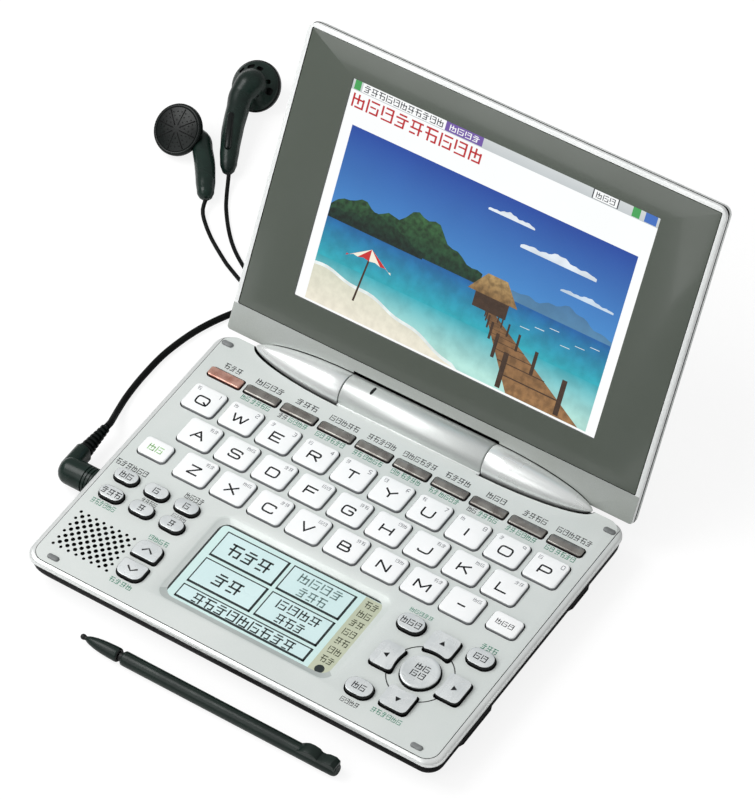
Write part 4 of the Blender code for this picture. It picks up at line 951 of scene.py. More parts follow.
# Painted shade: darker copies of the touch surround's colour for its left slope and, darker still, its front
# slope
TOUCH_SLOPE_SHADE = Finish("touch_slope", (206, 212, 209), (196, 202, 199), 0.4, 0.05, 60, 2400, 0.02, flakes=0.08)
TOUCH_DEEP_SHADE = Finish(
    "touch_slope_deep", (184, 191, 188), (172, 179, 176), 0.4, 0.05, 60, 2400, 0.02, flakes=0.08
)
TOUCH_LINE = Finish("touch_dark_line", (30, 38, 38), None, 0.4, 0.05, 300, 2600, 0.0)
CLEAR_FILM = {"relief": 0.01, "coat": 0.25, "coat_roughness": 0.2}
TOUCH_FILM = Finish("touch_film", (212, 238, 234), (205, 232, 229), 0.3, 0.04, 45, 3000, **CLEAR_FILM)
TOUCH_BOX = Finish("touch_box", (216, 240, 240), (209, 234, 234), 0.3, 0.04, 60, 3000, **CLEAR_FILM)
TOUCH_STRIP = Finish("touch_strip", (202, 207, 182), (190, 196, 171), 0.3, 0.04, 60, 3000, **CLEAR_FILM)
TOUCH_INK = ink("touch_ink", (26, 38, 38), 0.35, 300)
DIM_INK = ink("touch_dim_ink", (104, 130, 128), 0.35, 300)
OLIVE_INK = ink("touch_olive_ink", (72, 76, 52), 0.35, 300)
WINDOW_ACRYLIC = Finish(
    "window_gloss", (84, 91, 83), (79, 86, 77), 0.2, 0.04, 25, 2600, 0.0, coat=0.3, coat_roughness=0.06
)
STEEL = Finish("steel_part", (176, 178, 180), (160, 162, 165), 0.3, 0.08, 150, 2400, 0.05, 0.9, rubs=0.1)
BOARD = Finish("board_green", (30, 92, 58), (24, 78, 48), 0.4, 0.06, 120, 2000, 0.05, coat=0.3)
BATTERY_WRAP = Finish("battery_wrap", (52, 62, 118), (44, 54, 104), 0.35, 0.06, 80, 2000, 0.04, coat=0.4)
EARPHONE = Finish(
    "earphone_moulding", (24, 42, 36), (13, 26, 22), 0.27, 0.07, 90, 2200, 0.05, specular=0.25, rubs=0.08
)
EARPHONE_DARK = Finish("earphone_dark", (14, 21, 19), (8, 13, 12), 0.26, 0.06, 120, 2200, 0.05, specular=0.18)
CORD_SKIN = Finish("cord_skin", (14, 17, 16), (9, 11, 10), 0.5, 0.06, 200, 1500, 0.1, specular=0.1)
STYLUS_PLASTIC = Finish(
    "stylus_moulding", (25, 38, 33), (18, 30, 26), 0.3, 0.06, 90, 2200, 0.05, specular=0.25, rubs=0.08
)
STYLUS_DARK = Finish("stylus_dark", (10, 13, 12), (7, 9, 9), 0.45, 0.05, 120, 2200, 0.05, specular=0.3)

# Capitals and digits as strokes on an eight by eight grid, x and y in turn, with ~ before a rounded stroke
GLYPHS = dict(
    part.split(":")
    for part in (
        "A:004880 2363/B:0008 ~08787404 ~04848000/C:~868808008082/D:0008 ~08888000/E:88080080 0474/F:880800 0474"
        "/G:~868808008084 8444/H:0008 8088 0484/I:4048/J:~88800002/K:0008 8803 3580/L:080080/M:0008428880"
        "/N:00088088/O:~48080040 ~48888040/P:0008 ~08888303/Q:~48080040 ~48888040 5380/R:0008 ~08888404 4480"
        "/S:~8688080484800002/T:0888 4048/U:~08008088/V:084088/W:0820476088/X:0880 0088/Y:084488 4440/Z:08880080"
        "/–:0484/1:264840/2:~088884040080/3:~08888000 2484/4:60680383/5:~880804848000/6:~880800808404/7:088820"
        "/8:~48080040 ~48888040 0484/9:~008088080484/0:~48080040 ~48888040"
    ).split("/")
)
LETTER_WIDTHS = {"W": 5.3, "M": 5.0, "Q": 4.7, "O": 4.6, "–": 3.2, "V": 4.6, "Y": 4.6, "A": 4.7, "1": 0.9}


# Studio


@dataclass
class Studio:
    """The camera, the lamps, the world and the floor."""

    floor_height: float = -0.82
    floor_width: float = 8000.0
    camera_place: Point = (0.54905, -0.69008, 1.11068)
    forward: Point = (-0.39231, 0.51442, -0.76254)
    down: Point = (0.40372, -0.64858, -0.64525)
    focal_pixels: float = 4879.133
    frame_width: int = 755
    sensor_width: float = 36
    horizon_light: float = 0.3
    zenith_light: float = 0.64
    key_power: float = 4.7
    fill_power: float = 1.9
    aim: Point = (0, 0.02, 0.02)
    floor_share: float = 0.78
    floor_glow: float = 1.08

    def set_camera(self) -> None:
        """Put the camera at the photograph's place."""
        deselect()
        ahead, below = Vector(self.forward).normalized(), Vector(self.down)
        right = ahead.cross(-below).normalized()
        above = right.cross(ahead)
        turn = Matrix((right, above, -ahead)).transposed().to_4x4()
        bpy.ops.object.camera_add()
        camera = bpy.context.object
        camera.name = "photo_camera"
        camera.matrix_world = Matrix.Translation(self.camera_place) @ turn
        camera.data.sensor_fit = "HORIZONTAL"
        camera.data.sensor_width = self.sensor_width
        camera.data.lens = self.focal_pixels / self.frame_width * self.sensor_width
        bpy.context.scene.camera = camera

    def seen(self, tree: Tree) -> Socket:
        """A socket that is 1 for the camera's rays, also through clear things."""
        rays = add_node(tree, "LightPath", {}).outputs
        return reckon(tree, "MAXIMUM", rays["Is Camera Ray"], rays["Is Transmission Ray"])

    def light(self) -> None:
        """Add the soft world light, brighter overhead, and two large lamps."""
        world = bpy.data.worlds.new("studio_world")
        bpy.context.scene.world = world
        tree, back = shaded(world, "Background")
        where = add_node(tree, "TexCoord", {}).outputs["Generated"]
        height = add_node(tree, "SeparateXYZ", {"Vector": where}).outputs["Z"]
        sky = {"Value": height, "To Min": self.horizon_light, "To Max": self.zenith_light}
        lit = add_node(tree, "MapRange", sky).outputs["Result"]
        level = add_node(tree, "MapRange", {"Value": self.seen(tree), "To Min": lit, "To Max": 1.0})
        fill(tree, back, {"Color": (1, 1, 1, 1), "Strength": level.outputs["Result"]})
        for name, at, power, size in (
            ("key_lamp", (-0.55, -0.15, 0.75), self.key_power, 0.5),
            ("fill_lamp", (-0.38, -0.74, 0.6), self.fill_power, 0.6),
        ):
            deselect()
            bpy.ops.object.light_add(type="AREA", location=at)
            lamp = bpy.context.object
            lamp.name = name
            lamp.data.energy = power
            lamp.data.size = size
            lamp.rotation_euler = (Vector(self.aim) - Vector(at)).to_track_quat("-Z", "Y").to_euler()

    def lay_floor(self) -> None:
        """Add the pale floor, which keeps the object's shadow and shows white."""
        floor = plane("studio_floor", (0, 0), (self.floor_width, self.floor_width), self.floor_height)
        made = bpy.data.materials.new("floor_white")
        tree, shader = shaded(made, "Principled BSDF")
        fill(tree, shader, {"Base Color": (0.9, 0.9, 0.9, 1), "Roughness": 0.9, "Specular IOR Level": 0.0})
        white = add_node(tree, "Emission", {"Strength": self.floor_glow})
        share = reckon(tree, "MULTIPLY", self.seen(tree), self.floor_share)
        mix = add_node(tree, "MixShader", {0: share, 1: shader.outputs[0], 2: white.outputs[0]})
        fill(tree, tree.nodes["Material Output"], {"Surface": mix.outputs[0]})
        floor.data.materials.append(made)

    def build(self) -> None:
        """Set up the whole studio."""
        self.set_camera()
        self.light()
        self.lay_floor()
        bpy.context.scene.view_settings.view_transform = "Standard"


# Earphones


def smooth_route(points: Sequence[Point | Vector], spacing: float) -> list[Vector]:
    """Evenly spaced points on a smooth curve through the given ones.

    Args:
        points: the points that it passes.
        spacing: how far apart the new ones are.

    Returns:
        The new points.
    """
    nodes, steps = [Vector(point) for point in points], 24
    nodes = [2 * nodes[0] - nodes[1], *nodes, 2 * nodes[-1] - nodes[-2]]
    dense = []
    for before, start, end, after in zip(nodes, nodes[1:], nodes[2:], nodes[3:]):
        for share in (step / steps for step in range(steps)):
            slope = (end - before) * share
            curve = (2 * before - 5 * start + 4 * end - after) * share**2
            dense.append(0.5 * (2 * start + slope + curve + (3 * start - before - 3 * end + after) * share**3))
    dense.append(nodes[-2])
    lengths = [0.0]
    for first, second in zip(dense, dense[1:]):
        lengths.append(lengths[-1] + (second - first).length)
    count = max(2, round(lengths[-1] / spacing))
    route, index = [], 0
    for step in range(count + 1):
        wanted = lengths[-1] * step / count
        while index < len(dense) - 2 and lengths[index + 1] < wanted:
            index += 1
        span = lengths[index + 1] - lengths[index]
        route.append(dense[index].lerp(dense[index + 1], (wanted - lengths[index]) / span if span else 0))
    return route


def cord_curve(name: str, points: Sequence[Vector], diameter: float) -> Thing:
    """A round cord along a route, as a curve of one open spline.

    Args:
        name: the piece's name.
        points: the route.
        diameter: the cord's diameter.

    Returns:
        The new curve object.
    """
    round_section = {"bevel_depth": diameter / 2 * MM, "bevel_resolution": 4}
    settings = {"dimensions": "3D", **round_section, "use_fill_caps": True}
    thing = poly_curve(name, [point * MM for point in points], **settings)
    thing.data.splines[0].use_smooth = True
    return tinted(thing, CORD_SKIN)


@dataclass
class Coil:
    """The wound length of the lead behind the lid."""

    centre: Section = (-28.0, 105.0)
    mean_radius: float = 11.5
    turn_pitch: float = 2.9
    spiral_turns: float = 4.25
    climb_turns: float = 0.5
    low: float = 0.95
    layer_pitch: float = 2.7
    loop_points: int = 24

    def edge_y(self) -> float:
        """Where the outermost turn passes at the front."""
        return self.centre[1] - self.mean_radius - self.spiral_turns * self.turn_pitch / 2

    def start(self, diameter: float) -> Vector:
        """The first point of a lead's wound length, where it still runs straight."""
        return Vector((self.centre[0] - 2 * diameter, self.edge_y(), self.low))

    def loops(self) -> list[Vector]:
        """The turns: in along the lower layer, up in half a turn and out along the upper one.

        Returns:
            Their points.
        """
        (middle_x, middle_y), half = self.centre, self.spiral_turns * self.turn_pitch / 2
        total = 2 * self.spiral_turns + self.climb_turns
        count = round(total * self.loop_points)
        points = []
        for turns in (total * step / count for step in range(count + 1)):
            climbed = turns - self.spiral_turns
            if climbed <= 0:
                radius = self.mean_radius + half - self.turn_pitch * turns
            else:
                radius = self.mean_radius - half + self.turn_pitch * max(climbed - self.climb_turns, 0.0)
            rise = min(max(climbed / self.climb_turns, 0.0), 1.0)
            angle = math.tau * turns - math.pi / 2
            x, y = middle_x + radius * math.cos(angle), middle_y + radius * math.sin(angle)
            points.append(Vector((x, y, self.low + self.layer_pitch * rise)))
        return points

    def tail(self, end: Vector, diameter: float) -> list[Vector]:
        """The way from the upper layer down to the splitter.

        Args:
            end: where the lead ends.
            diameter: the cord's diameter.

        Returns:
            The points of the way.
        """
        straight = end - Vector((diameter, 0, 0))
        high = self.low + self.layer_pitch
        leave = Vector((self.centre[0] + 2 * diameter, self.edge_y() + diameter / 4, high))
        between = leave.lerp(straight, 0.5) + Vector((diameter, -diameter, 0))
        return smooth_route([leave, between, straight, end], 2 * diameter)


def tapered_tube(name: str, points: Sequence[Vector], radii: Sequence[float]) -> Thing:
    """A closed tube with a changing radius along a smooth way, as a mesh.

    Args:
        name: the piece's name.
        points: the way's points.
        radii: the radius at each of them.

    Returns:
        The new object.
    """
    settings = {"dimensions": "3D", "bevel_depth": MM, "bevel_resolution": 12, "use_fill_caps": True}
    curve = poly_curve(name, [point * MM for point in points], **settings)
    curve.data.splines[0].points.foreach_set("radius", list(radii))
    return meshed(curve, 1e-6)


@dataclass
class Bud:
    """One earbud: where its grille's middle lies, which way it faces, and its stem's start and end.

    The neck has depths behind the grille and radii. The stem has shares of its length, radii, lifts and
    shifts aside. Each vent has its angle, its distance from the middle, its width and its length.
    """

    side: str
    centre: Point
    facing: Point
    stem_start: Point
    stem_end: Point
    neck: Sequence[Section]
    stem: Sequence[tuple[float, float, float, float]]
    inlay_turn: float
    vents: Sequence[tuple[float, float, float, float]] = ()
    radius: float = 8.3
    depth: float = 7.6
    spokes: int = 8
    rings: Sequence[tuple[float, int]] = ((2.9, 8), (4.3, 16), (5.6, 24))

    def frames(self) -> tuple[Matrix, Matrix, float]:
        """The frames that the parts are modelled in.

        Returns:
            The head's with Z to its grille, the stem's with Z along it, and the stem's length.
        """
        stem, facing = Vector(self.stem_end) - Vector(self.stem_start), Vector(self.facing)
        found = []
        for origin, ahead, near in ((self.centre, facing, stem), (self.stem_start, stem, facing)):
            ahead = ahead.normalized()
            aside = (near - near.dot(ahead) * ahead).normalized()
            turn = Matrix((aside, ahead.cross(aside), ahead)).transposed().to_4x4()
            found.append(Matrix.Translation(Vector(origin) * MM) @ turn)
        return found[0], found[1], stem.length

    def cord_end(self) -> Vector:
        """The place where the cord ends at the stem."""
        stem = Vector(self.stem_end) - Vector(self.stem_start)
        return Vector(self.stem_end) + stem.normalized() * 0.6

    def build_head(self) -> Thing:
        """Model the head, with its vents where they show.

        Returns:
            The head, flat on its back.
        """
        depth, radius = self.depth, self.radius
        back = (
            (1, 1.6), (0.98, 2.5), (0.92, 3.3), (0.82, 4.05), (0.7, 4.8), (0.58, 5.7), (0.48, 6.6), (0.4, 7.4)
        )
        profile = [(-depth * share, wide) for share, wide in back]
        profile += [(-2.6, 7.85), (-2.3, 7.9), (-2.2, 7.75), (-2.05, 7.75), (-1.95, 8.1), (-1.75, radius)]
        profile += [(-0.8, radius), (-0.3, radius - 0.15), (-0.05, radius - 0.5), (0.0, radius - 0.9)]
        profile += [(-0.15, radius - 1.15), (-0.6, radius - 1.2)]
        head = tinted(lathe(f"bud_{self.side}_head", profile, 56), EARPHONE)
        repaint(head, EARPHONE_DARK, lambda at, _: at.z > -2.32)
        # The vents are cut with a near-black tool, which paints shade on their walls.
        for angle, reach, wide, long in self.vents:
            low, high = (reach - wide / 2, -long / 2, -depth - 1), (reach + wide / 2, long / 2, -2.9)
            tool = place(slab("vent", low, high, wide * 0.45), turned((0, 0, 0), angle))
            combine(head, tinted(tool, GAP_SHADE), "DIFFERENCE")
        return head

    def build_grille(self) -> Thing:
        """Model the grille with its spokes and holes.

        Returns:
            The grille, lying flat.
        """
        profile = [(-0.9, 6.9), (-0.35, 7.1), (-0.1, 7.0), (0.15, 5.6), (0.35, 3.6), (0.45, 1.5), (0.47, 0.2)]
        parts = [tinted(lathe(f"bud_{self.side}_grille", profile, 48), EARPHONE_DARK)]
        # The spokes are low ribs and the holes small discs, all near black: painted shade that stands for dark
        # grooves and perforations.
        spoke = slab("spoke", (1.2, -0.2, -0.5), (6.8, 0.2, 0.0), 0.15, 0.1, 2)
        tinted(place(spoke, turned((0, 0, 0.62), 4, "Y")), GAP_SHADE)
        hole = tinted(lathe("hole", [(0.1, 0.24), (0.5, 0.24)], 6), GAP_SHADE)
        for turn in range(self.spokes):
            arm = copied(spoke, 0, 0)
            arm.rotation_euler.z = math.tau * turn / self.spokes
            parts.append(arm)
        for ring, count in self.rings:
            for index in range(count):
                angle = math.tau * (index + 0.5) / count
                parts.append(copied(hole, ring * math.cos(angle), ring * math.sin(angle), -0.0105 * ring**2))
        remove(spoke, hole)
        return joined(f"bud_{self.side}_grille", parts)

    def build_stem(self) -> Thing:
        """Model the neck and the stem as one tube.

        Returns:
            The tube, in place.
        """
        back = -Vector(self.facing).normalized()
        begin, way = Vector(self.stem_start), Vector(self.stem_end) - Vector(self.stem_start)
        across = Vector((-way.y, way.x, 0)).normalized()
        knots = [(Vector(self.centre) + back * deep, radius) for deep, radius in self.neck]
        for share, radius, lift, aside in self.stem:
            knots.append((begin + way * share + across * aside + Vector((0, 0, lift)), radius))
        points = smooth_route([point for point, _ in knots], 0.7)
        reaches = [0.0]
        for (first, _), (second, _) in zip(knots, knots[1:]):
            reaches.append(reaches[-1] + (second - first).length)
        radii = []
        for index in range(len(points)):
            at = reaches[-1] * index / (len(points) - 1)
            span = next((i for i in range(len(knots) - 1) if at <= reaches[i + 1] + 1e-6), len(knots) - 2)
            share = (at - reaches[span]) / (reaches[span + 1] - reaches[span])
            share = share * share * (3 - 2 * share)
            radii.append(knots[span][1] * (1 - share) + knots[span + 1][1] * share)
        return tinted(tapered_tube(f"bud_{self.side}_stem", points, radii), EARPHONE)

    def build(self) -> list[Thing]:
        """Model the shell with its neck, stem and inlay, and the grille.

        Returns:
            The shell and the grille.
        """
        head_frame, stem_frame, length = self.frames()
        stem = self.build_stem()
        sections = [(0.0, 2.6), (0.0, 3.75), (0.2, 4.0), (0.5, 4.1)]
        inlay = loft(f"bud_{self.side}_inlay", (0.0, length * 0.58), (1.9, length * 0.42), 0.95, sections)
        tinted(inlay, EARPHONE_DARK)
        outward = Matrix(((1, 0, 0, 0), (0, 0, 1, 0), (0, 1, 0, 0), (0, 0, 0, 1)))
        heal(place(inlay, stem_frame @ turned((0, 0, 0), self.inlay_turn) @ outward))
        head = place(self.build_head(), head_frame)
        shell = smooth(joined(f"bud_{self.side}_shell", [head, stem, inlay]), 40)
        grille = smooth(place(self.build_grille(), head_frame), 35)
        seat(shell, Body.BASE, "earphone_plastic", f"earbud_{self.side}_shell")
        seat(grille, Body.BASE, "grey_rubber", f"earbud_{self.side}_grille")
        return [shell, grille]


@dataclass
class Earphones:
    """The plug, the lead with its coil, the splitter, the two branches and the earbuds."""

    socket: Point = (-72.1, -14.164, 4.3)
    barrel: float = 9.6
    dome: float = 3.5
    arm_radius: float = 2.5
    arm_reach: float = 8.3
    boot_length: float = 10.7
    boot_ribs: int = 7
    boot_radii: Section = (2.4, 1.5)
    lead_diameter: float = 2.1
    branch_diameter: float = 1.3
    splitter: Section = (12.0, 100.0)
    splitter_length: float = 11.0
    clearance: float = 0.3
    coil: Coil = field(default_factory=Coil)
    lead_route: Sequence[Point] = (
        (-82.8, 7.0, 4.0), (-84.0, 10.0, 2.6), (-85.7, 15.0, 1.0), (-86.9, 21.0, 0.4), (-87.4, 30.0, 0.4),
        (-86.9, 41.0, 0.4), (-84.1, 53.0, 0.4), (-79.3, 63.5, 0.4), (-73.8, 71.0, 0.4), (-67.0, 78.0, 0.4),
        (-59.0, 83.2, 0.5), (-50.0, 86.6, 0.7), (-41.0, 88.0, 1.0),
    )
    left_route: Sequence[Point] = (
        (24.0, 102.0, -0.1), (33.0, 101.0, -0.1), (41.0, 97.5, -0.1), (46.2, 91.0, -0.1), (45.0, 83.5, -0.1),
        (38.5, 78.5, -0.1), (29.0, 76.3, -0.1), (12.0, 75.2, -0.1), (-12.0, 73.8, -0.1), (-34.0, 72.2, -0.1),
        (-48.0, 70.8, 0.1), (-57.0, 70.1, 0.7), (-64.0, 69.9, 1.7), (-70.0, 70.4, 2.5), (-74.6, 71.4, 2.7),
        (-79.5, 73.3, 2.3), (-85.0, 76.0, 1.3), (-91.0, 79.1, 0.4), (-93.9, 80.8, -0.1),
        (-102.5, 86.1, -0.1), (-108.8, 91.1, 0.2), (-111.2, 93.9, 1.0),
    )
    right_route: Sequence[Point] = (
        (23.5, 98.2, -0.1), (31.0, 97.5, -0.1), (37.2, 94.5, -0.1), (40.5, 89.7, -0.1), (38.8, 84.5, -0.1),
        (33.0, 81.0, -0.1), (24.0, 79.3, -0.1), (8.0, 78.2, -0.1), (-14.0, 76.8, -0.1), (-33.0, 75.5, -0.1),
        (-46.0, 74.3, 0.1), (-54.0, 73.8, 0.7), (-61.0, 73.7, 1.7), (-66.5, 74.2, 2.5), (-71.2, 75.2, 2.7),
        (-76.5, 76.4, 2.3), (-82.0, 78.7, 1.3), (-87.6, 81.8, 0.4), (-94.3, 86.5, -0.1),
        (-100.0, 91.8, -0.1), (-105.7, 98.5, -0.1), (-109.1, 103.7, 0.3), (-110.8, 106.8, 1.2),
    )
    buds: tuple[Bud, Bud] = (
        Bud(
            "left", (-134.1, 112.7, 7.3), (-0.03, -0.62, 0.78), (-129.3, 118.0, 4.8), (-112.4, 97.1, 2.2),
            ((3.6, 4.4), (5.2, 3.7)),
            (
                (0.1, 3.1, -1.5, 0.0), (0.28, 3.2, -0.9, 0.4), (0.5, 3.25, -0.4, 0.7), (0.75, 3.1, 0.0, 0.5),
                (0.92, 2.7, 0.1, 0.2), (0.98, 2.1, 0.0, 0.1), (1.0, 1.3, 0.0, 0.0),
            ),
            100.0,
        ),
        Bud(
            "right", (-124.6, 143.1, 4.5), (-0.02, 0.62, -0.78), (-127.6, 137.1, 8.5), (-112.4, 109.7, 2.2),
            ((4.2, 5.2), (6.0, 4.6)),
            (
                (0.1, 4.1, -0.4, 1.4), (0.28, 3.6, -0.2, 0.5), (0.5, 3.45, 0.0, -0.3), (0.75, 3.05, 0.1, -0.5),
                (0.9, 2.7, 0.1, -0.4), (0.97, 2.1, 0.0, -0.2), (1.0, 1.2, 0.0, 0.0),
            ),
            87.0,
            (
                (-92, 5.5, 1.2, 1.5), (-62, 6.0, 1.9, 2.4), (146, 6.3, 1.0, 2.2), (178, 6.0, 1.3, 2.6),
                (211, 5.6, 1.2, 2.2),
            ),
        ),
    )

    def arm_x(self) -> float:
        """Where the plug's side arm stands."""
        return self.socket[0] - self.barrel - self.dome + self.arm_radius

    def build_plug(self) -> Thing:
        """Model the angled plug with its ribbed boot.

        Returns:
            The plug.
        """
        ring = ((0.0, 4.3), (0.1, 3.95), (0.4, 3.95), (0.5, 4.3))
        profile = [(0.0, 4.0), (0.25, 4.25), (0.5, 4.3)]
        profile += [(start + step, radius) for start in (0.9, 2.0, 3.1) for step, radius in ring]
        dome = ((0.0, 4.3), (0.7, 4.2), (1.4, 3.95), (2.1, 3.5), (2.8, 2.7), (3.25, 1.8), (self.dome, 0.4))
        profile += [(self.barrel + step, radius) for step, radius in dome]
        body = tinted(lathe("plug_barrel", profile, 48), EARPHONE)
        repaint(body, EARPHONE_DARK, lambda at, _: at.z < 0.3)
        place(body, turned(self.socket, -90, "Y"))
        reach = self.arm_reach
        sections = [(0.0, 0.0), (0.0, reach - 0.6), (0.25, reach - 0.15), (0.7, reach)]
        arm = tinted(loft("plug_arm", (0.0, 0.0), (5.0, 6.8), 2.4, sections, 8), EARPHONE)
        profile, pitch = [(reach - 1.0, 2.2)], self.boot_length / self.boot_ribs
        first, last = self.boot_radii
        for rib in range(self.boot_ribs):
            wide = first + (last - first) * rib / (self.boot_ribs - 1)
            for share, depth in ((0.12, 0.5), (0.26, 0.0), (0.68, 0.0), (0.82, 0.5)):
                profile.append((reach + pitch * (rib + share), wide - depth))
        profile.append((reach + self.boot_length, 1.15))
        boot = tinted(lathe("plug_boot", profile, 32), EARPHONE_DARK)
        for part in (arm, boot):
            place(part, turned((self.arm_x(), *self.socket[1:]), -90, "X"))
        plug = smooth(joined("plug_shell", [body, arm, boot]), 38)
        return seat(plug, Body.BASE, "earphone_plastic", "plug_body")

    def build_splitter(self) -> Thing:
        """Model the splitter where the lead becomes two cords.

        Returns:
            The splitter.
        """
        sections = [(0.5, -0.8), (0.15, -0.6), (0.0, -0.1), (0.0, 1.6), (0.2, 2.1), (0.7, 2.4)]
        block = loft("cord_joint", self.splitter, (self.splitter_length, 5.8), 1.6, sections)
        return seat(smooth(tinted(block, EARPHONE), 50), Body.BASE, "earphone_plastic", "cord_splitter")

    def lay(
        self, name: str, route: Sequence[Vector], diameter: float, pieces: list[Thing], *nodes: str
    ) -> None:
        """Args:
            name: its name.
            route: its whole way.
            diameter: its diameter.
            pieces: not used.
            nodes: the CAD nodes that it replaces.
        """
        cord = seat(cord_curve(name, route, diameter), Body.BASE, "earphone_cord", *nodes)

    def build(self) -> None:
        """Model the earphones and lay their cords."""
        plug, splitter = self.build_plug(), self.build_splitter()
        coil, diameter, fit = self.coil, self.lead_diameter, self.clearance
        reach = self.arm_reach + self.boot_length + fit
        outlet = Vector((self.arm_x(), self.socket[1] + reach, self.socket[2]))
        start, half = coil.start(diameter), self.splitter_length / 2
        end = Vector((self.splitter[0] - half - fit, self.splitter[1], 0.4))
        free = smooth_route([outlet, *self.lead_route, start - Vector((fit, 0, 0))], 2.2)
        route = [*free, start, *coil.loops(), *coil.tail(end, diameter)]
        pieces = [splitter, plug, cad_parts["plug_pin"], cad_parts["coil_tie"]]
        self.lay("earphone_lead", route, diameter, pieces, "cord_lead", "cord_coil")
        for bud, way, side in zip(self.buds, (self.left_route, self.right_route), (1, -1)):
            pieces = bud.build()
            root = Vector((self.splitter[0] + half + fit, self.splitter[1] + side * 1.4, 0.0))
            points = smooth_route([root, *way, bud.cord_end()], 1.6)
            self.lay(f"branch_{bud.side}", points, self.branch_diameter, pieces, f"cord_{bud.side}")


# Marks: small generic signs that stand where small print would be


@dataclass
class Marks:
    """Small made-up signs of straight strokes, each drawn once and copied.

    A stroke has the left, lower, right and upper shares of its sign's box.
    """

    strokes: Sequence[Sequence[tuple[float, float, float, float]]] = (
        (
            (0.04, 0.83, 0.96, 0.96), (0.04, 0.46, 0.96, 0.58), (0.24, 0.04, 0.38, 0.96),
            (0.56, 0.04, 0.96, 0.16), (0.82, 0.04, 0.96, 0.58),
        ),
        (
            (0.04, 0.04, 0.18, 0.96), (0.43, 0.3, 0.57, 0.96), (0.82, 0.04, 0.96, 0.74),
            (0.04, 0.56, 0.96, 0.68), (0.3, 0.04, 0.96, 0.16),
        ),
        (
            (0.2, 0.84, 0.8, 0.96), (0.02, 0.6, 0.98, 0.72), (0.02, 0.04, 0.74, 0.16),
            (0.6, 0.04, 0.74, 0.72), (0.18, 0.32, 0.6, 0.42),
        ),
        (
            (0.04, 0.04, 0.18, 0.96), (0.3, 0.82, 0.96, 0.94), (0.3, 0.46, 0.74, 0.57),
            (0.3, 0.06, 0.96, 0.18), (0.82, 0.06, 0.96, 0.57),
        ),
        (
            (0.04, 0.82, 0.96, 0.94), (0.16, 0.5, 0.28, 0.82), (0.04, 0.38, 0.96, 0.5),
            (0.66, 0.04, 0.8, 0.94), (0.04, 0.04, 0.5, 0.16),
        ),
        (
            (0.04, 0.3, 0.18, 0.96), (0.32, 0.84, 0.96, 0.96), (0.32, 0.52, 0.96, 0.63),
            (0.82, 0.04, 0.96, 0.96), (0.1, 0.04, 0.96, 0.15),
        ),
    )
    side_gap: float = 0.06
    made: dict[str, list[Thing]] = field(default_factory=dict)

    def models(self, finish: Finish) -> list[Thing]:
        """The unit-sized signs in one ink, drawn at their first use.

        Args:
            finish: the ink.

        Returns:
            One object a sign.
        """
        if finish.name not in self.made:
            self.made[finish.name] = [
                joined("sign", [patch((x0, y0), (x1, y1), 0.0, finish) for x0, y0, x1, y1 in sign])
                for sign in self.strokes
            ]
        return self.made[finish.name]

    def row(
        self, finish: Finish, low: Section, high: Section, height: float, count: int, first: int = 0
    ) -> list[Thing]:
        """A row of signs that fills a rectangle.

        Args:
            finish: the ink.
            low: the rectangle's lower left corner.
            high: its upper right corner.
            height: how high the row lies.
            count: how many signs it has.
            first: the first sign's number.

        Returns:
            The signs, not joined yet.
        """
        pitch, models, signs = (high[0] - low[0]) / count, self.models(finish), []
        for index in range(count):
            model = models[(first + index * 2 + index // 3) % len(models)]
            scale = (pitch * (1 - 2 * self.side_gap), high[1] - low[1], 1)
            signs.append(copied(model, low[0] + pitch * (index + self.side_gap), low[1], height, scale))
        return signs

    def about(self, finish: Finish, middle: Point, half: Section, count: int, first: int = 0) -> list[Thing]:
        """A row of signs round a middle, which half is the half width and half height of."""
        (x, y, height), (wide, tall) = middle, half
        return self.row(finish, (x - wide, y - tall), (x + wide, y + tall), height, count, first)

    def clear(self) -> None:
        """Remove the models once every row is laid."""
        remove(*[sign for signs in self.made.values() for sign in signs])
        self.made.clear()


# Keys


@dataclass
class KeyShape:
    """One key's outline on the panel, its rise over it, and how its corners and top edge are rounded."""

    middle: Section
    size: Section
    corners: Section = (1.3, 1.3)
    rise: float = 1.0
    edge: float = 0.38
    round_end: int = 0

    def solid(self, name: str, grow: float, low: float, high: float, edge: float) -> Thing:
        """The key's outline as a solid.

        Args:
            name: its name.
            grow: how far the outline is let out.
            low: its lowest height.
            high: its highest one.
            edge: the radius of its upper edge.

        Returns:
            The new object.
        """
        (x, y), (width, depth) = self.middle, self.size
        half_x, half_y = width / 2 + grow, depth / 2 + grow
        corners = tuple(corner + grow for corner in self.corners)
        thing = slab(name, (x - half_x, y - half_y, low), (x + half_x, y + half_y, high), corners, edge)
        if self.round_end:
            self.round_one_end(thing, half_x, half_y)
        return thing

    def round_one_end(self, thing: Thing, half_x: float, half_y: float) -> None:
        """Draw one end of a long key in to a half circle.

        Args:
            thing: the key's solid.
            half_x: half its width.
            half_y: half its depth.
        """
        x, y = self.middle
        straight = half_x - half_y
        for vertex in thing.data.vertices:
            ahead = (vertex.co.x / MM - x) * self.round_end - straight
            aside = min(abs(vertex.co.y / MM - y) / half_y, 1.0)
            if ahead > 0:
                reach = half_y * math.sqrt(max(1 - aside**2 * 0.9, 0.0))
                vertex.co.x = (x + self.round_end * (straight + min(ahead, reach))) * MM


@dataclass(frozen=True)
class KeyLook:
    """How a kind of key looks: its top, its side, how far down the side starts, and its material slot."""

    top: Finish
    side: Finish
    depth: float
    slot: str


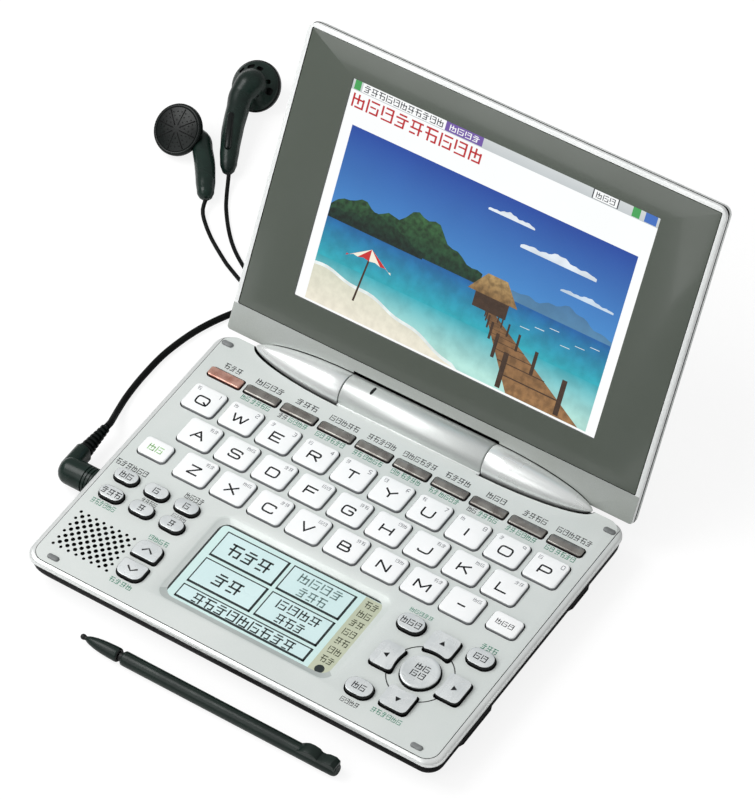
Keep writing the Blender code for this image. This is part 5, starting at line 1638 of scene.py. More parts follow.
# The silver keys' black sides are their own plastic, but the black also covers most of the rounded top edge: a
# painted dark outline of shade.
# The white, taupe and copper keys' sides are darker copies of their tops' colour: painted shade.
PLAIN_LOOK = KeyLook(WHITE_KEY, WHITE_SIDE_SHADE, 0.42, "white_key_plastic")
METAL_LOOK = KeyLook(SILVER_KEY, BLACK_SIDE, 0.07, "silver_key_plastic")
LOOKS = {
    "power_key": KeyLook(COPPER_KEY, COPPER_SIDE_SHADE, 0.25, "copper_key_plastic"),
    "function_row_keys": KeyLook(TAUPE_KEY, TAUPE_SIDE_SHADE, 0.25, "taupe_key_plastic"),
}


@dataclass
class Keys:
    """Every key of the panel: caps, legends and the cutters for their openings."""

    panel: float = 10.2
    pitch: Section = (13.398, 11.536)
    letter_size: Section = (11.19, 9.63)
    top_row: Section = (-60.4, 24.6)
    function_y: float = 35.44
    function_keys: int = 9
    pad: Section = (50.12, -25.17)
    gap: float = 0.4
    buried: float = 1.6
    print_rise: float = 0.012
    oval_rise: float = 1.4
    enter_radius: float = 5.82
    marks: Marks = field(default_factory=Marks)
    rows: Sequence[tuple[str, str]] = (
        ("letter_keys_top", "QWERTYUIOP"),
        ("letter_keys_middle", "ASDFGHJKL"),
        ("letter_keys_bottom", "ZXCVBNM–"),
    )
    ovals: Sequence[tuple[str, Section, int]] = (
        ("oval_key_note", (-62.6, -11.45), 2),
        ("oval_key_voice", (-62.6, -18.95), 3),
        ("oval_key_louder", (-51.75, -11.45), 1),
        ("oval_key_quieter", (-51.75, -18.95), 1),
        ("oval_key_larger", (-40.9, -11.45), 1),
        ("oval_key_smaller", (-40.9, -18.95), 1),
    )
    side_ovals: Sequence[tuple[str, Section, int]] = (
        ("oval_key_jump", (38.3, -12.1), 3),
        ("oval_key_delete", (61.9, -12.0), 2),
        ("oval_key_back", (38.5, -38.75), 2),
    )

    def shapes(self) -> dict[str, list[KeyShape]]:
        """Every key node and its keys' shapes, apart from the arrow keys and the enter key.

        Returns:
            The shapes of each node.
        """
        (start, top), (pitch_x, pitch_y), found = self.top_row, self.pitch, {}
        for row, (name, letters) in enumerate(self.rows):
            left, y = start + row * pitch_x / 2, top - row * pitch_y
            middles = [(left + column * pitch_x, y) for column in range(len(letters))]
            found[name] = [KeyShape(middle, self.letter_size) for middle in middles]
        low, count = ((0.5, 0.5), 0.7, 0.5), self.function_keys
        found["power_key"] = [KeyShape((start, self.function_y), (12.0, 3.5), *low, -1)]
        found["function_row_keys"] = [
            KeyShape((start + pitch_x * index, self.function_y), (11.7, 3.13), *low, int(index == count))
            for index in range(1, count + 1)
        ]
        found["function_key"] = [KeyShape((-61.5, 1.65), (9.76, 6.67))]
        found["clear_key"] = [KeyShape((61.0, 1.8), (9.76, 6.67))]
        for name, middle, _ in self.ovals:
            found[name] = [KeyShape(middle, (7.9, 4.6), (2.2, 2.2), self.oval_rise, 0.3)]
        for name, middle, _ in self.side_ovals:
            found[name] = [KeyShape(middle, (8.62, 5.86), (2.85, 2.85), self.oval_rise, 0.3)]
        found["page_up_key"] = [KeyShape((-40.9, -30.65), (8.62, 6.17), (0.7, 2.6), 1.3, 0.25)]
        found["page_down_key"] = [KeyShape((-40.9, -38.85), (8.62, 6.17), (2.6, 0.7), 1.3, 0.25)]
        return found

    def arrow(self, name: str, turn: int, grow: float, low: float, high: float) -> Thing:
        """An arrow key's solid: a block with a hollow inner side round the enter key.

        Args:
            name: its name.
            turn: quarter turns from the upper one.
            grow: how far its outline is let out.
            low: its lowest height.
            high: its highest height.

        Returns:
            The new object.
        """
        half, outer, reach, hollow, soft = 4.49 + grow, 15.08 + grow, 7.97, 12.0, 1.9
        arc = [x / 5 * (half - soft) for x in range(5, -6, -1)]
        arc = [(x, reach - hollow + math.sqrt((hollow - grow) ** 2 - x**2)) for x in arc]
        inner = reach - hollow + math.sqrt((hollow - grow) ** 2 - half**2)
        corners = [(-half, inner + soft, 0), (-half, outer, soft), (half, outer, soft), (half, inner + soft, 0)]
        bends = bend(Vector((half, inner + soft)), Vector((half, inner)), Vector(arc[0]))
        horn = [tuple(at) for at in bends[1:]]
        outline = [*softened(corners), *horn, *arc[1:-1], *[(-x, y) for x, y in reversed(horn)]]
        block = tinted(flat_shape(name, outline, low, high), BLACK_SIDE)
        if not grow:
            # Only the top stays silver: the black body also covers most of the rounded top edge, a painted dark
            # outline of shade.
            round_edges(block, 0.3, lambda at, _: at.z > high - 0.001)
            repaint(block, SILVER_KEY, lambda at, _: at.z > high - 0.07)
        return place(block, turned((*self.pad, 0), 90 * turn))

    def cutters(self) -> Thing:
        """All the openings that the keys need in the panel, as one near-black tool that leaves painted shade on
        their walls.

        Returns:
            The tool.
        """
        low, high, shapes = self.panel - 2.6, self.panel + 1.0, sum(self.shapes().values(), [])
        tools = [shape.solid("key_room", self.gap, low, high, 0.0) for shape in shapes]
        tools += [self.arrow("arrow_room", turn, self.gap, low, high) for turn in range(4)]
        wide = self.enter_radius + self.gap
        tools.append(place(lathe("enter_room", [(low, wide), (high, wide)], 48), turned((*self.pad, 0))))
        return tinted(joined("key_rooms", tools), GAP_SHADE)

    def caps(self, name: str, shapes: Sequence[KeyShape]) -> list[Thing]:
        """The caps of one key node.

        Args:
            name: the node.
            shapes: its keys' shapes.

        Returns:
            The caps, not joined yet.
        """
        look, things = LOOKS.get(name, METAL_LOOK if name.startswith(("oval", "page")) else PLAIN_LOOK), []
        for shape in shapes:
            top = self.panel + shape.rise
            cap = tinted(shape.solid(f"{name}_cap", 0.0, self.panel - self.buried, top, shape.edge), look.top)
            # The side finish is painted shade on the white, taupe and copper keys and black plastic on the
            # silver ones,
            # whose black also covers most of the rounded top edge as a painted dark outline of shade.
            repaint(cap, look.side, lambda at, way, low=top - look.depth: at.z < low and abs(way.z) < 0.95)
            things.append(cap)
        return things

    def letter(
        self, letter: str, at: Point, width: float, tall: float, half: float, finish: Finish
    ) -> list[Thing]:
        """A capital or digit drawn in even strokes on an eight by eight grid.

        Args:
            letter: what is drawn.
            at: its middle.
            width: how wide it is.
            tall: how tall it is.
            half: half a stroke's width.
            finish: its ink.

        Returns:
            Its strokes.
        """
        things = []
        for stroke in GLYPHS[letter].split():
            radius = 0.3 * tall if stroke[0] == "~" else 0.0
            digits = [int(mark) for mark in stroke.lstrip("~")]
            corners = [
                (at[0] + (x / 8 - 0.5) * (width - 2 * half), at[1] + (y / 8 - 0.5) * (tall - 2 * half), radius)
                for x, y in zip(digits[::2], digits[1::2])
            ]
            outline = ribbon(softened(corners), half)
            things.append(tinted(flat_shape("stroke", outline, at[2] - 0.01, at[2]), finish))
        return things

    def letter_legends(self, name: str, letters: str, shapes: Sequence[KeyShape]) -> list[Thing]:
        """The letters of one row of keys, with digits or small marks beside them.

        Args:
            name: the row's node.
            letters: its letters.
            shapes: its keys' shapes.

        Returns:
            The printed parts, not joined yet.
        """
        things, height = [], self.panel + 1.0 + self.print_rise
        for index, (letter, shape) in enumerate(zip(letters, shapes)):
            x, y = shape.middle
            width = LETTER_WIDTHS.get(letter, 4.2)
            things += self.letter(letter, (x - 0.1, y - 0.6, height), width, 3.5, 0.28, LEGEND)
            if name == "letter_keys_top":
                digit = "1234567890"[index]
                width = LETTER_WIDTHS.get(digit, 1.2)
                things += self.letter(digit, (x + 3.9, y + 3.05, height), width, 1.6, 0.11, SOFT_LEGEND)
                things += self.marks.row(SOFT_LEGEND, (x - 4.5, y + 2.4), (x - 3.0, y + 3.8), height, 1, index)
            else:
                things += self.marks.row(SOFT_LEGEND, (x + 1.6, y + 2.4), (x + 4.6, y + 3.7), height, 2, index)
        return things

    def legends(self, name: str, shapes: Sequence[KeyShape]) -> list[Thing]:
        """What is printed on the caps of one key node: letters, digits, chevrons or small marks.

        Args:
            name: the node.
            shapes: its keys' shapes.

        Returns:
            The printed parts, not joined yet.
        """
        letters = dict(self.rows).get(name)
        if letters:
            return self.letter_legends(name, letters, shapes)
        at = (*shapes[0].middle, self.panel + shapes[0].rise + self.print_rise)
        if name == "function_key":
            return self.marks.about(LIME_LEGEND, at, (2.7, 1.35), 2, 1)
        if name == "clear_key":
            return self.marks.about(DARK_LEGEND, at, (3.1, 1.0), 3, 1)
        if name.startswith("page"):
            tip = 1.1 if name == "page_up_key" else -1.1
            chevron = [(-1.9, -tip / 2), (0, tip / 2 + tip * 0.25), (1.9, -tip / 2)]
            outline = [*chevron, *[(x * 0.8, y - tip * 0.42) for x, y in reversed(chevron)]]
            outline = [(at[0] + x, at[1] + y) for x, y in outline]
            return [tinted(flat_shape("chevron", outline, at[2] - 0.01, at[2]), LEGEND)]
        for oval, _, count in (*self.ovals, *self.side_ovals):
            if name == oval:
                return self.marks.about(LEGEND, at, (1.15 * count, 1.2), count, len(name))
        return []

    def build_arrows(self) -> None:
        """Model the arrow keys."""
        low, top = self.panel - self.buried, self.panel + self.oval_rise
        for turn, side in enumerate(("up", "left", "down", "right")):
            name = f"arrow_key_{side}"
            cap = self.arrow(f"{name}_cap", turn, 0.0, low, top)
            outline = [(-0.95, 10.9), (0.95, 10.9), (0.0, 12.5)]
            sign = flat_shape("arrow_sign", outline, top + 0.002, top + 0.012)
            place(tinted(sign, LEGEND), turned((*self.pad, 0), 90 * turn))
            seat(smooth(joined(f"{name}_cap", [cap, sign])), name, "silver_key_plastic", name)

    def build_enter(self) -> None:
        """Model the enter key inside the arrow keys."""
        top, wide = self.panel + self.oval_rise, self.enter_radius
        height = top - 0.14
        profile = [(self.panel - self.buried, wide), (top - 0.35, wide), (top - 0.12, 5.74), (top, 5.5)]
        profile += [(top, 4.9), (top - 0.12, 4.4), (top - 0.16, 2.0)]
        cap = tinted(lathe("enter_key_cap", profile, 64), SILVER_KEY)
        repaint(cap, BLACK_SIDE, lambda at, way: at.z < top - 0.4 and abs(way.z) < 0.9)
        words = self.marks.row(LEGEND, (-2.5, 0.3), (2.5, 2.7), height, 2, 1)
        words += self.marks.row(LEGEND, (-2.5, -2.4), (2.5, -0.1), height, 2, 3)
        words.append(patch((-0.9, -3.5), (0.9, -3.15), height, LEGEND))
        cap = place(joined("enter_key_cap", [cap, *words]), turned((*self.pad, 0)))
        seat(smooth(cap), "enter_key", "silver_key_plastic", "enter_key")

    def build(self) -> None:
        """Model every key."""
        for name, shapes in self.shapes().items():
            look = LOOKS.get(name, METAL_LOOK if name.startswith(("oval", "page")) else PLAIN_LOOK)
            piece = joined(f"{name}_caps", [*self.caps(name, shapes), *self.legends(name, shapes)])
            seat(smooth(piece), name, look.slot, name)
        self.build_arrows()
        self.build_enter()


# Base


@dataclass
class HingeLine:
    """The hinge's axis, its middle barrel and the two bullet-shaped ends."""

    axis_y: float = 50.31
    axis_z: float = 10.56
    radius: float = 5.4
    left_seam: float = -26.71
    right_seam: float = 24.27
    tip: float = 59.594
    fit: float = 0.3

    def bullet(self, name: str, side: int, grow: float, finish: Finish) -> Thing:
        """One hinge end, from its seam to its tip.

        Args:
            name: the piece's name.
            side: -1 for the left one and 1 for the right one.
            grow: how much fatter it is made.
            finish: its finish.

        Returns:
            The new object, in place round the axis.
        """
        seam = abs(self.left_seam if side < 0 else self.right_seam)
        shares = (1.0, 0.99, 0.82, 0.65, 0.52, 0.4, 0.3, 0.22, 0.15, 0.09, 0.05, 0.02, 0.005, 0.0)
        profile = []
        for share in shares:
            radius = self.radius * (1 - (1 - share) ** 2) ** 0.6 + grow
            if share == 1.0 and not grow:
                radius -= 0.15
            further = {0.0: grow, 1.0: -grow}.get(share, 0.0)
            profile.append((seam + (self.tip - seam) * (1 - share) + further, radius if share else LEAST))
        thing = tinted(lathe(name, profile, 64), finish)
        return place(thing, turned((0, self.axis_y, self.axis_z), 90 * side, "Y"))

    def bullets(self, name: str, grow: float, finish: Finish) -> Thing:
        """Both hinge ends as one object, made fatter by grow."""
        return joined(name, [self.bullet(name, side, grow, finish) for side in (-1, 1)])


@dataclass
class PanelCover:
    """The silver upper half of the base: rim, panel, speaker holes, touch surround and hinge barrel."""

    keys: Keys
    hinge: HingeLine
    size: Section = (143.6, 101.1)
    corner: float = 5.2
    seam: float = 8.2
    top: float = 10.2
    rim_radius: float = 1.2
    panel_low: Section = (-69.95, -49.2)
    panel_high: Section = (69.95, 50.5)
    grille_corner: Section = (-66.6, -42.3)
    grille_pitch: float = 2.743
    grille_count: tuple[int, int] = (8, 6)
    touch_low: Section = (-31.4, -41.7)
    touch_high: Section = (29.6, -6.95)
    pad_groove: float = 9.8
    window_low: Section = (-28.9, -40.75)
    window_high: Section = (27.9, -9.5)

    def speaker_holes(self) -> Thing:
        """The speaker's holes in two interleaved fields, the outer ones smaller, as one near-black tool that
        leaves painted shade in the holes.

        Returns:
            The tool.
        """
        hole = tinted(lathe("speaker_hole", [(self.top - 0.9, 0.67), (self.top + 0.6, 0.67)], 12), GAP_SHADE)
        (left, front), (columns, rows), tools = self.grille_corner, self.grille_count, []
        for shift in (0, 1):
            for column in range(columns - shift):
                for row in range(rows - shift):
                    x = left + (column + shift / 2) * self.grille_pitch
                    y = front + (row + shift / 2) * self.grille_pitch
                    outer = not shift and (column in (0, columns - 1) or row in (0, rows - 1))
                    wide = 0.76 if outer else 1.0
                    tools.append(copied(hole, x, y, 0, (wide, wide, 1)))
        remove(hole)
        return joined("speaker_holes", tools)

    def touch_funnel(self) -> Thing:
        """The sloping surround of the touch window, as a tool whose left and front slopes are painted darker:
        painted shade.

        Returns:
            The tool.
        """
        (left, front), (right, back), top = self.touch_low, self.touch_high, self.top
        slope = (right - left - (self.window_high[0] - self.window_low[0])) / 2
        sections = [(-0.3, top + 0.3), (0.0, top), (0.35, top - 0.18)]
        sections += [(slope - 0.1, top - 0.62), (slope, top - 1.0)]
        middle = ((left + right) / 2, (front + back) / 2)
        rim = tinted(loft("touch_slope", middle, (right - left, back - front), 3.4, sections), TOUCH_RING)
        # The left slope and the front slope are painted darker: painted shade.
        repaint(rim, TOUCH_SLOPE_SHADE, lambda at, way: at.z < top - 0.2 and way.x < -0.05)
        return repaint(rim, TOUCH_DEEP_SHADE, lambda at, way: at.z < top - 0.2 and way.y < -0.05)

    def edge_groove(self) -> Thing:
        """The fine groove between panel and rim, open at the back, as a dark grey tool that leaves painted shade
        on its walls.

        Returns:
            The tool.
        """
        (left, front), (right, _), top, half = self.panel_low, self.panel_high, self.top, 0.1
        low, high = (left - half, front - half, top - 0.3), (right + half, 60.0, top + 0.5)
        outer = slab("edge_groove", low, high, (4.3, 0.0), 0.0, 10)
        low, high = (left + half, front + half, top - 1.0), (right - half, 61.0, top + 1.0)
        inner = slab("edge_groove_core", low, high, (4.1, 0.0), 0.0, 10)
        return tinted(combine(outer, inner, "DIFFERENCE"), GROOVE_SHADE)

    def build_shell(self) -> None:
        """Model the rim and panel in one, with every opening."""
        sections = [(0.25, self.seam), (0.0, self.seam + 0.15)]
        sections += round_over(self.top - 0.08, self.rim_radius, 5)
        rim = tinted(loft("panel_shell", (0, 0), self.size, self.corner, sections, 10), SILVER_RIM)
        low, high = (*self.panel_low, self.seam + 0.9), (*self.panel_high, self.top)
        combine(rim, tinted(slab("panel_plate", low, high, (4.2, 4.4), 0.06, 10), SILVER_PANEL), "UNION")
        # The ring groove round the arrow pad is cut with a dark grey tool, which paints shade on its walls.
        deselect()
        bpy.ops.mesh.primitive_torus_add(
            location=[value * MM for value in (*self.keys.pad, self.top)],
            major_radius=self.pad_groove * MM,
            minor_radius=0.19 * MM,
            major_segments=96,
            minor_segments=8,
        )
        pad_groove = tinted(settle(bpy.context.object, "pad_groove"), GROOVE_SHADE)
        # The trough is cut 0.95 mm wider than the hinge ends with a near-black tool: painted shade round them.
        trough = self.hinge.bullets("trough", 0.95, GAP_SHADE)
        openings = (self.keys.cutters(), self.speaker_holes(), self.touch_funnel())
        for tool in (self.edge_groove(), pad_groove, *openings, trough):
            combine(rim, tool, "DIFFERENCE")
        seat(smooth(rim), Body.BASE, "satin_silver_plastic", "base_top_cover")

    def build_barrel(self) -> None:
        """Model the barrel between the hinge ends, blended into the panel in front of it."""
        hinge, top = self.hinge, self.top
        left, right = hinge.left_seam + hinge.fit, hinge.right_seam - hinge.fit
        length, wide, axis = right - left, hinge.radius, (hinge.axis_y, hinge.axis_z)
        profile = [(0, 4.9), (0.12, 5.25), (0.35, wide)]
        profile += [(length - 0.35, wide), (length - 0.12, 5.25), (length, 4.9)]
        barrel = tinted(lathe("hinge_barrel", profile, 72), BARREL_SILVER)
        place(barrel, turned((left, *axis), 90, "Y"))
        slope = (
            (44.2, -0.4), (44.2, -0.01), (44.9, 0.06), (45.5, 0.3), (46.0, 0.9), (46.5, 1.8),
            (47.2, 2.9), (48.2, 4.0), (50.3, 4.3), (50.3, -0.4),
        )
        blend = flat_shape("barrel_blend", [(y, top + rise) for y, rise in slope], 0.0, length)
        upright = Matrix(((0, 0, 1, left * MM), (1, 0, 0, 0), (0, 1, 0, 0), (0, 0, 0, 1)))
        place(tinted(blend, BARREL_SILVER), upright)
        dot = tinted(lathe("catch_dot", [(4.8, 0.55), (5.36, 0.55), (5.43, 0.45), (5.45, 0.1)], 24), BLACK_SIDE)
        dot.scale = (1.0, 2.9, 1.0)
        place(settle(dot), turned((-17.25, *axis), -4, "X"))
        seat(smooth(joined("hinge_barrel", [barrel, blend, dot]), 40), Body.BASE, "satin_silver_plastic")

    def build_bed(self) -> None:
        """Model the dark bed that the hinge ends turn in."""
        bed = tinted(slab("hinge_bed", (-61.0, 43.0, 3.3), (61.0, 50.5, 9.3), 0.4, 0.3), BLACK_CASE)
        combine(bed, self.hinge.bullets("bed_room", 0.55, BLACK_CASE), "DIFFERENCE")
        seat(smooth(bed), Body.BASE, "black_plastic")

    def build_bumpers(self) -> None:
        """Model the four soft bumpers that the closed lid rests on."""
        things = []
        for x, y in ((-63.3, -46.7), (63.3, -46.7), (-67.6, 46.75), (67.6, 46.75)):
            low, high = (x - 2, y - 0.9, self.top - 0.4), (x + 2, y + 0.9, self.top + 0.6)
            things.append(tinted(slab("bumper", low, high, 0.85, 0.55), BUMPER_RUBBER))
        seat(smooth(joined("panel_bumpers", things)), Body.BASE, "grey_rubber")

    def build_labels(self) -> None:
        """Lay the small marks beside the keys."""
        marks, height, things = self.keys.marks, self.top + 0.012, []
        above = [(3, 3.2), (4, 5.0), (3, 3.9), (5, 5.2), (5, 5.0)]
        above += [(6, 5.9), (4, 4.4), (3, 3.4), (4, 4.1), (6, 6.0)]
        for index, (count, half) in enumerate(above):
            x = self.keys.top_row[0] + index * self.keys.pitch[0]
            things += marks.row(DARK_LEGEND, (x - half, 38.5), (x + half, 40.75), height, count, index)
            if index:
                first = DARK_LEGEND if index in (2, 7) else GREEN_LEGEND
                things += marks.row(first, (x - 5.4, 31.3), (x - 2.2, 33.3), height, 2, index)
                things += marks.row(GREEN_LEGEND, (x - 1.8, 31.3), (x + 5.0, 33.3), height, 4, index + 1)
        rows = (
            (DARK_LEGEND, (-69.5, -8.35), (-58.0, -6.1), 6),
            (DARK_LEGEND, (-44.5, -8.35), (-38.0, -6.1), 4),
            (DARK_LEGEND, (-54.5, -16.2), (-49.0, -14.5), 4),
            (SOFT_LEGEND, (-43.6, -16.2), (-38.4, -14.5), 3),
            (GREEN_LEGEND, (-67.0, -24.1), (-58.4, -22.0), 6),
            (GREEN_LEGEND, (-44.5, -26.4), (-37.5, -24.5), 4),
            (GREEN_LEGEND, (-45.2, -44.9), (-37.2, -43.0), 4),
            (GREEN_LEGEND, (34.5, -7.95), (42.5, -6.4), 5),
            (GREEN_LEGEND, (59.0, -8.4), (64.5, -6.3), 3),
            (DARK_LEGEND, (35.5, -44.9), (41.8, -43.0), 4),
            (GREEN_LEGEND, (45.0, -43.4), (55.3, -41.5), 6),
        )
        for index, (finish, low, high, count) in enumerate(rows):
            things += marks.row(finish, low, high, height, count, index)
        seat(joined("panel_labels", things), Body.BASE, "satin_silver_plastic")

    def build(self) -> None:
        """Model the upper half of the base."""
        self.build_shell()
        self.build_barrel()
        self.build_bed()
        self.build_bumpers()
        self.build_labels()


@dataclass
class TouchPanel:
    """The touch window: its film, dark line, boxes and the strip of icons at its side.

    Each box has its corners, the number of its signs and their ink.
    """

    keys: Keys
    low: Section = (-28.75, -40.7)
    high: Section = (27.8, -9.75)
    height: float = 9.52
    line: float = 0.4
    shadow_line: float = 0.78
    boxes: Sequence[tuple[Section, Section, int, Finish]] = (
        ((-26.15, -21.45), (-4.0, -11.35), 3, TOUCH_INK),
        ((-2.75, -21.45), (19.25, -11.35), 4, DIM_INK),
        ((-26.15, -32.55), (-4.0, -22.45), 2, TOUCH_INK),
        ((-2.75, -32.55), (19.25, -22.45), 4, TOUCH_INK),
        ((-26.15, -38.85), (19.25, -33.55), 9, TOUCH_INK),
    )
    icons: int = 7

    def line_box(self, low: Section, high: Section, height: float) -> list[Thing]:
        """The four lines of a box, its right and lower ones thicker.

        Args:
            low: its lower left corner.
            high: its upper right corner.
            height: how high they lie.

        Returns:
            The lines.
        """
        (left, front), (right, back), thin, thick = low, high, self.line, self.shadow_line
        lines = (
            (low, (left + thin, back)),
            ((left, back - thin), high),
            ((right - thick, front), high),
            (low, (right, front + thick)),
        )
        return [patch(start, end, height, TOUCH_INK) for start, end in lines]

    def build(self) -> None:
        """Model the touch panel."""
        marks, top = self.keys.marks, self.height
        film = slab("touch_panel_film", (*self.low, top - 0.25), (*self.high, top), 1.6, 0.05)
        low = (self.low[0] - 0.5, self.low[1] - 0.1, top - 0.3)
        border = slab("touch_border", low, (self.high[0] + 0.05, self.high[1] + 0.5, top - 0.02), 1.8)
        things, ink_top = [tinted(film, TOUCH_FILM), tinted(border, TOUCH_LINE)], top + 0.014
        for index, (low, high, count, finish) in enumerate(self.boxes):
            things += self.line_box(low, high, top + 0.012)
            things.append(patch(low, high, top + 0.006, TOUCH_BOX))
            x, y = (low[0] + high[0]) / 2, (low[1] + high[1]) / 2
            if count == 4:
                things += marks.about(finish, (x, y + 2.2, ink_top), (7.6, 1.75), 4, index)
                things += marks.about(finish, (x, y - 2.2, ink_top), (5.0, 1.75), 3, index + 1)
            else:
                tall = min(high[1] - low[1] - 1.5, 4.9)
                things += marks.about(finish, (x, y, ink_top), (count * tall * 0.52, tall / 2), count, index)
        things.append(patch((21.25, -40.3), (27.7, -9.9), top + 0.006, TOUCH_STRIP))
        for index in range(self.icons):
            things += marks.about(OLIVE_INK, (24.6, -12.2 - index * 3.75, ink_top), (2.3, 1.3), 2, index)
        dot = place(lathe("round_icon", [(top, 1.5), (ink_top, 1.5)], 24), turned((24.5, -38.4, 0)))
        things.append(tinted(dot, TOUCH_INK))
        seat(joined("touch_panel_film", things), Body.BASE, "touch_screen_film", "touch_glass")


@dataclass
class LowerCase:
    """The black lower half of the base, its battery door, feet and screws."""

    size: Section = (143.6, 101.1)
    corner: float = 5.2
    top: float = 7.9
    wall: float = 1.4
    door_half: float = 35.9
    door_front: float = 3.03
    door_top: float = 2.9
    door_gap: float = 0.3
    screws: Sequence[Section] = ((-63.9, -45.0), (63.9, -45.0), (-64.6, 41.96), (64.6, 41.96))
    grips: int = 7

    def tray(self, name: str) -> Thing:
        """The hollow tray that the case and its door are cut from.

        Args:
            name: the piece's name.

        Returns:
            The new object.
        """
        insets = (0.0, 0.04, 0.1, 0.24, 0.4, 0.55, 0.72, 0.84, 1.0)
        rises = (1.0, 0.8, 0.62, 0.43, 0.27, 0.16, 0.08, 0.03, 0.0)
        outer, inner = [], [(0.4 + self.wall, self.top + 1.0)]
        for inset, rise in zip(insets, rises):
            outer.append((0.4 + 4.2 * inset, self.top * rise))
            inner.append((outer[-1][0] + self.wall, self.wall + (self.top - self.wall) * rise))
        del inner[1]
        case = tinted(loft(name, (0, 0), self.size, self.corner, outer, 8), BLACK_CASE)
        room = tinted(loft("tray_room", (0, 0), self.size, self.corner, inner, 8), BLACK_CASE)
        return combine(case, room, "DIFFERENCE")

    def door_block(self, shrink: float) -> Thing:
        """The part of the tray that the door takes, made smaller by shrink."""
        low, high = (shrink - self.door_half, self.door_front + shrink, -1.0), (self.door_half - shrink, 60.0)
        return tinted(slab("door_block", low, (*high, self.door_top - shrink)), BLACK_CASE)

    def build_case(self) -> None:
        """Model the tray with its rooms for the door, the hinge, the screws and the plug."""
        case = self.tray("lower_case")
        combine(case, self.door_block(0.0), "DIFFERENCE")
        room = slab("hinge_room", (-61.3, 42.7, 2.95), (61.3, 60.0, 9.0))
        combine(case, tinted(room, BLACK_CASE), "DIFFERENCE")
        tools = [
            place(lathe("screw_seat", [(-1.0, 2.4), (1.0, 2.4)]), turned((*screw, 0))) for screw in self.screws
        ]
        plug_room = lathe("plug_room", [(-2.0, 3.1), (4.5, 3.1)], 40)
        tools.append(place(plug_room, turned((-73.0, -14.164, 4.3), 90, "Y")))
        tools.append(slab("label_recess", (-26.0, -33.0, -0.5), (26.0, -13.0, 0.15), 1.5))
        for tool in tools:
            tinted(tool, BLACK_CASE)
        combine(case, joined("case_rooms", tools), "DIFFERENCE")
        seat(smooth(case), Body.BASE, "black_plastic", "base_bottom_case")

    def build_door(self) -> None:
        """Model the battery door with its grips and its arrow."""
        door = self.tray("battery_door_panel")
        combine(door, self.door_block(self.door_gap), "INTERSECT")
        tools = []
        for index in range(self.grips):
            y = 9.0 + index * 1.6
            tools.append(slab("grip", (-8.0, y - 0.35, -0.5), (8.0, y + 0.35, 0.25), 0.3))
        tools.append(flat_shape("door_arrow", [(-3.0, 23.0), (3.0, 23.0), (0.0, 26.5)], -0.5, 0.2))
        combine(door, tinted(joined("door_grips", tools), BLACK_CASE), "DIFFERENCE")
        seat(smooth(door), Body.DOOR, "black_plastic", "battery_cover")

    def build(self) -> None:
        """Model the lower half of the base."""
        self.build_case()
        self.build_door()


# Lid


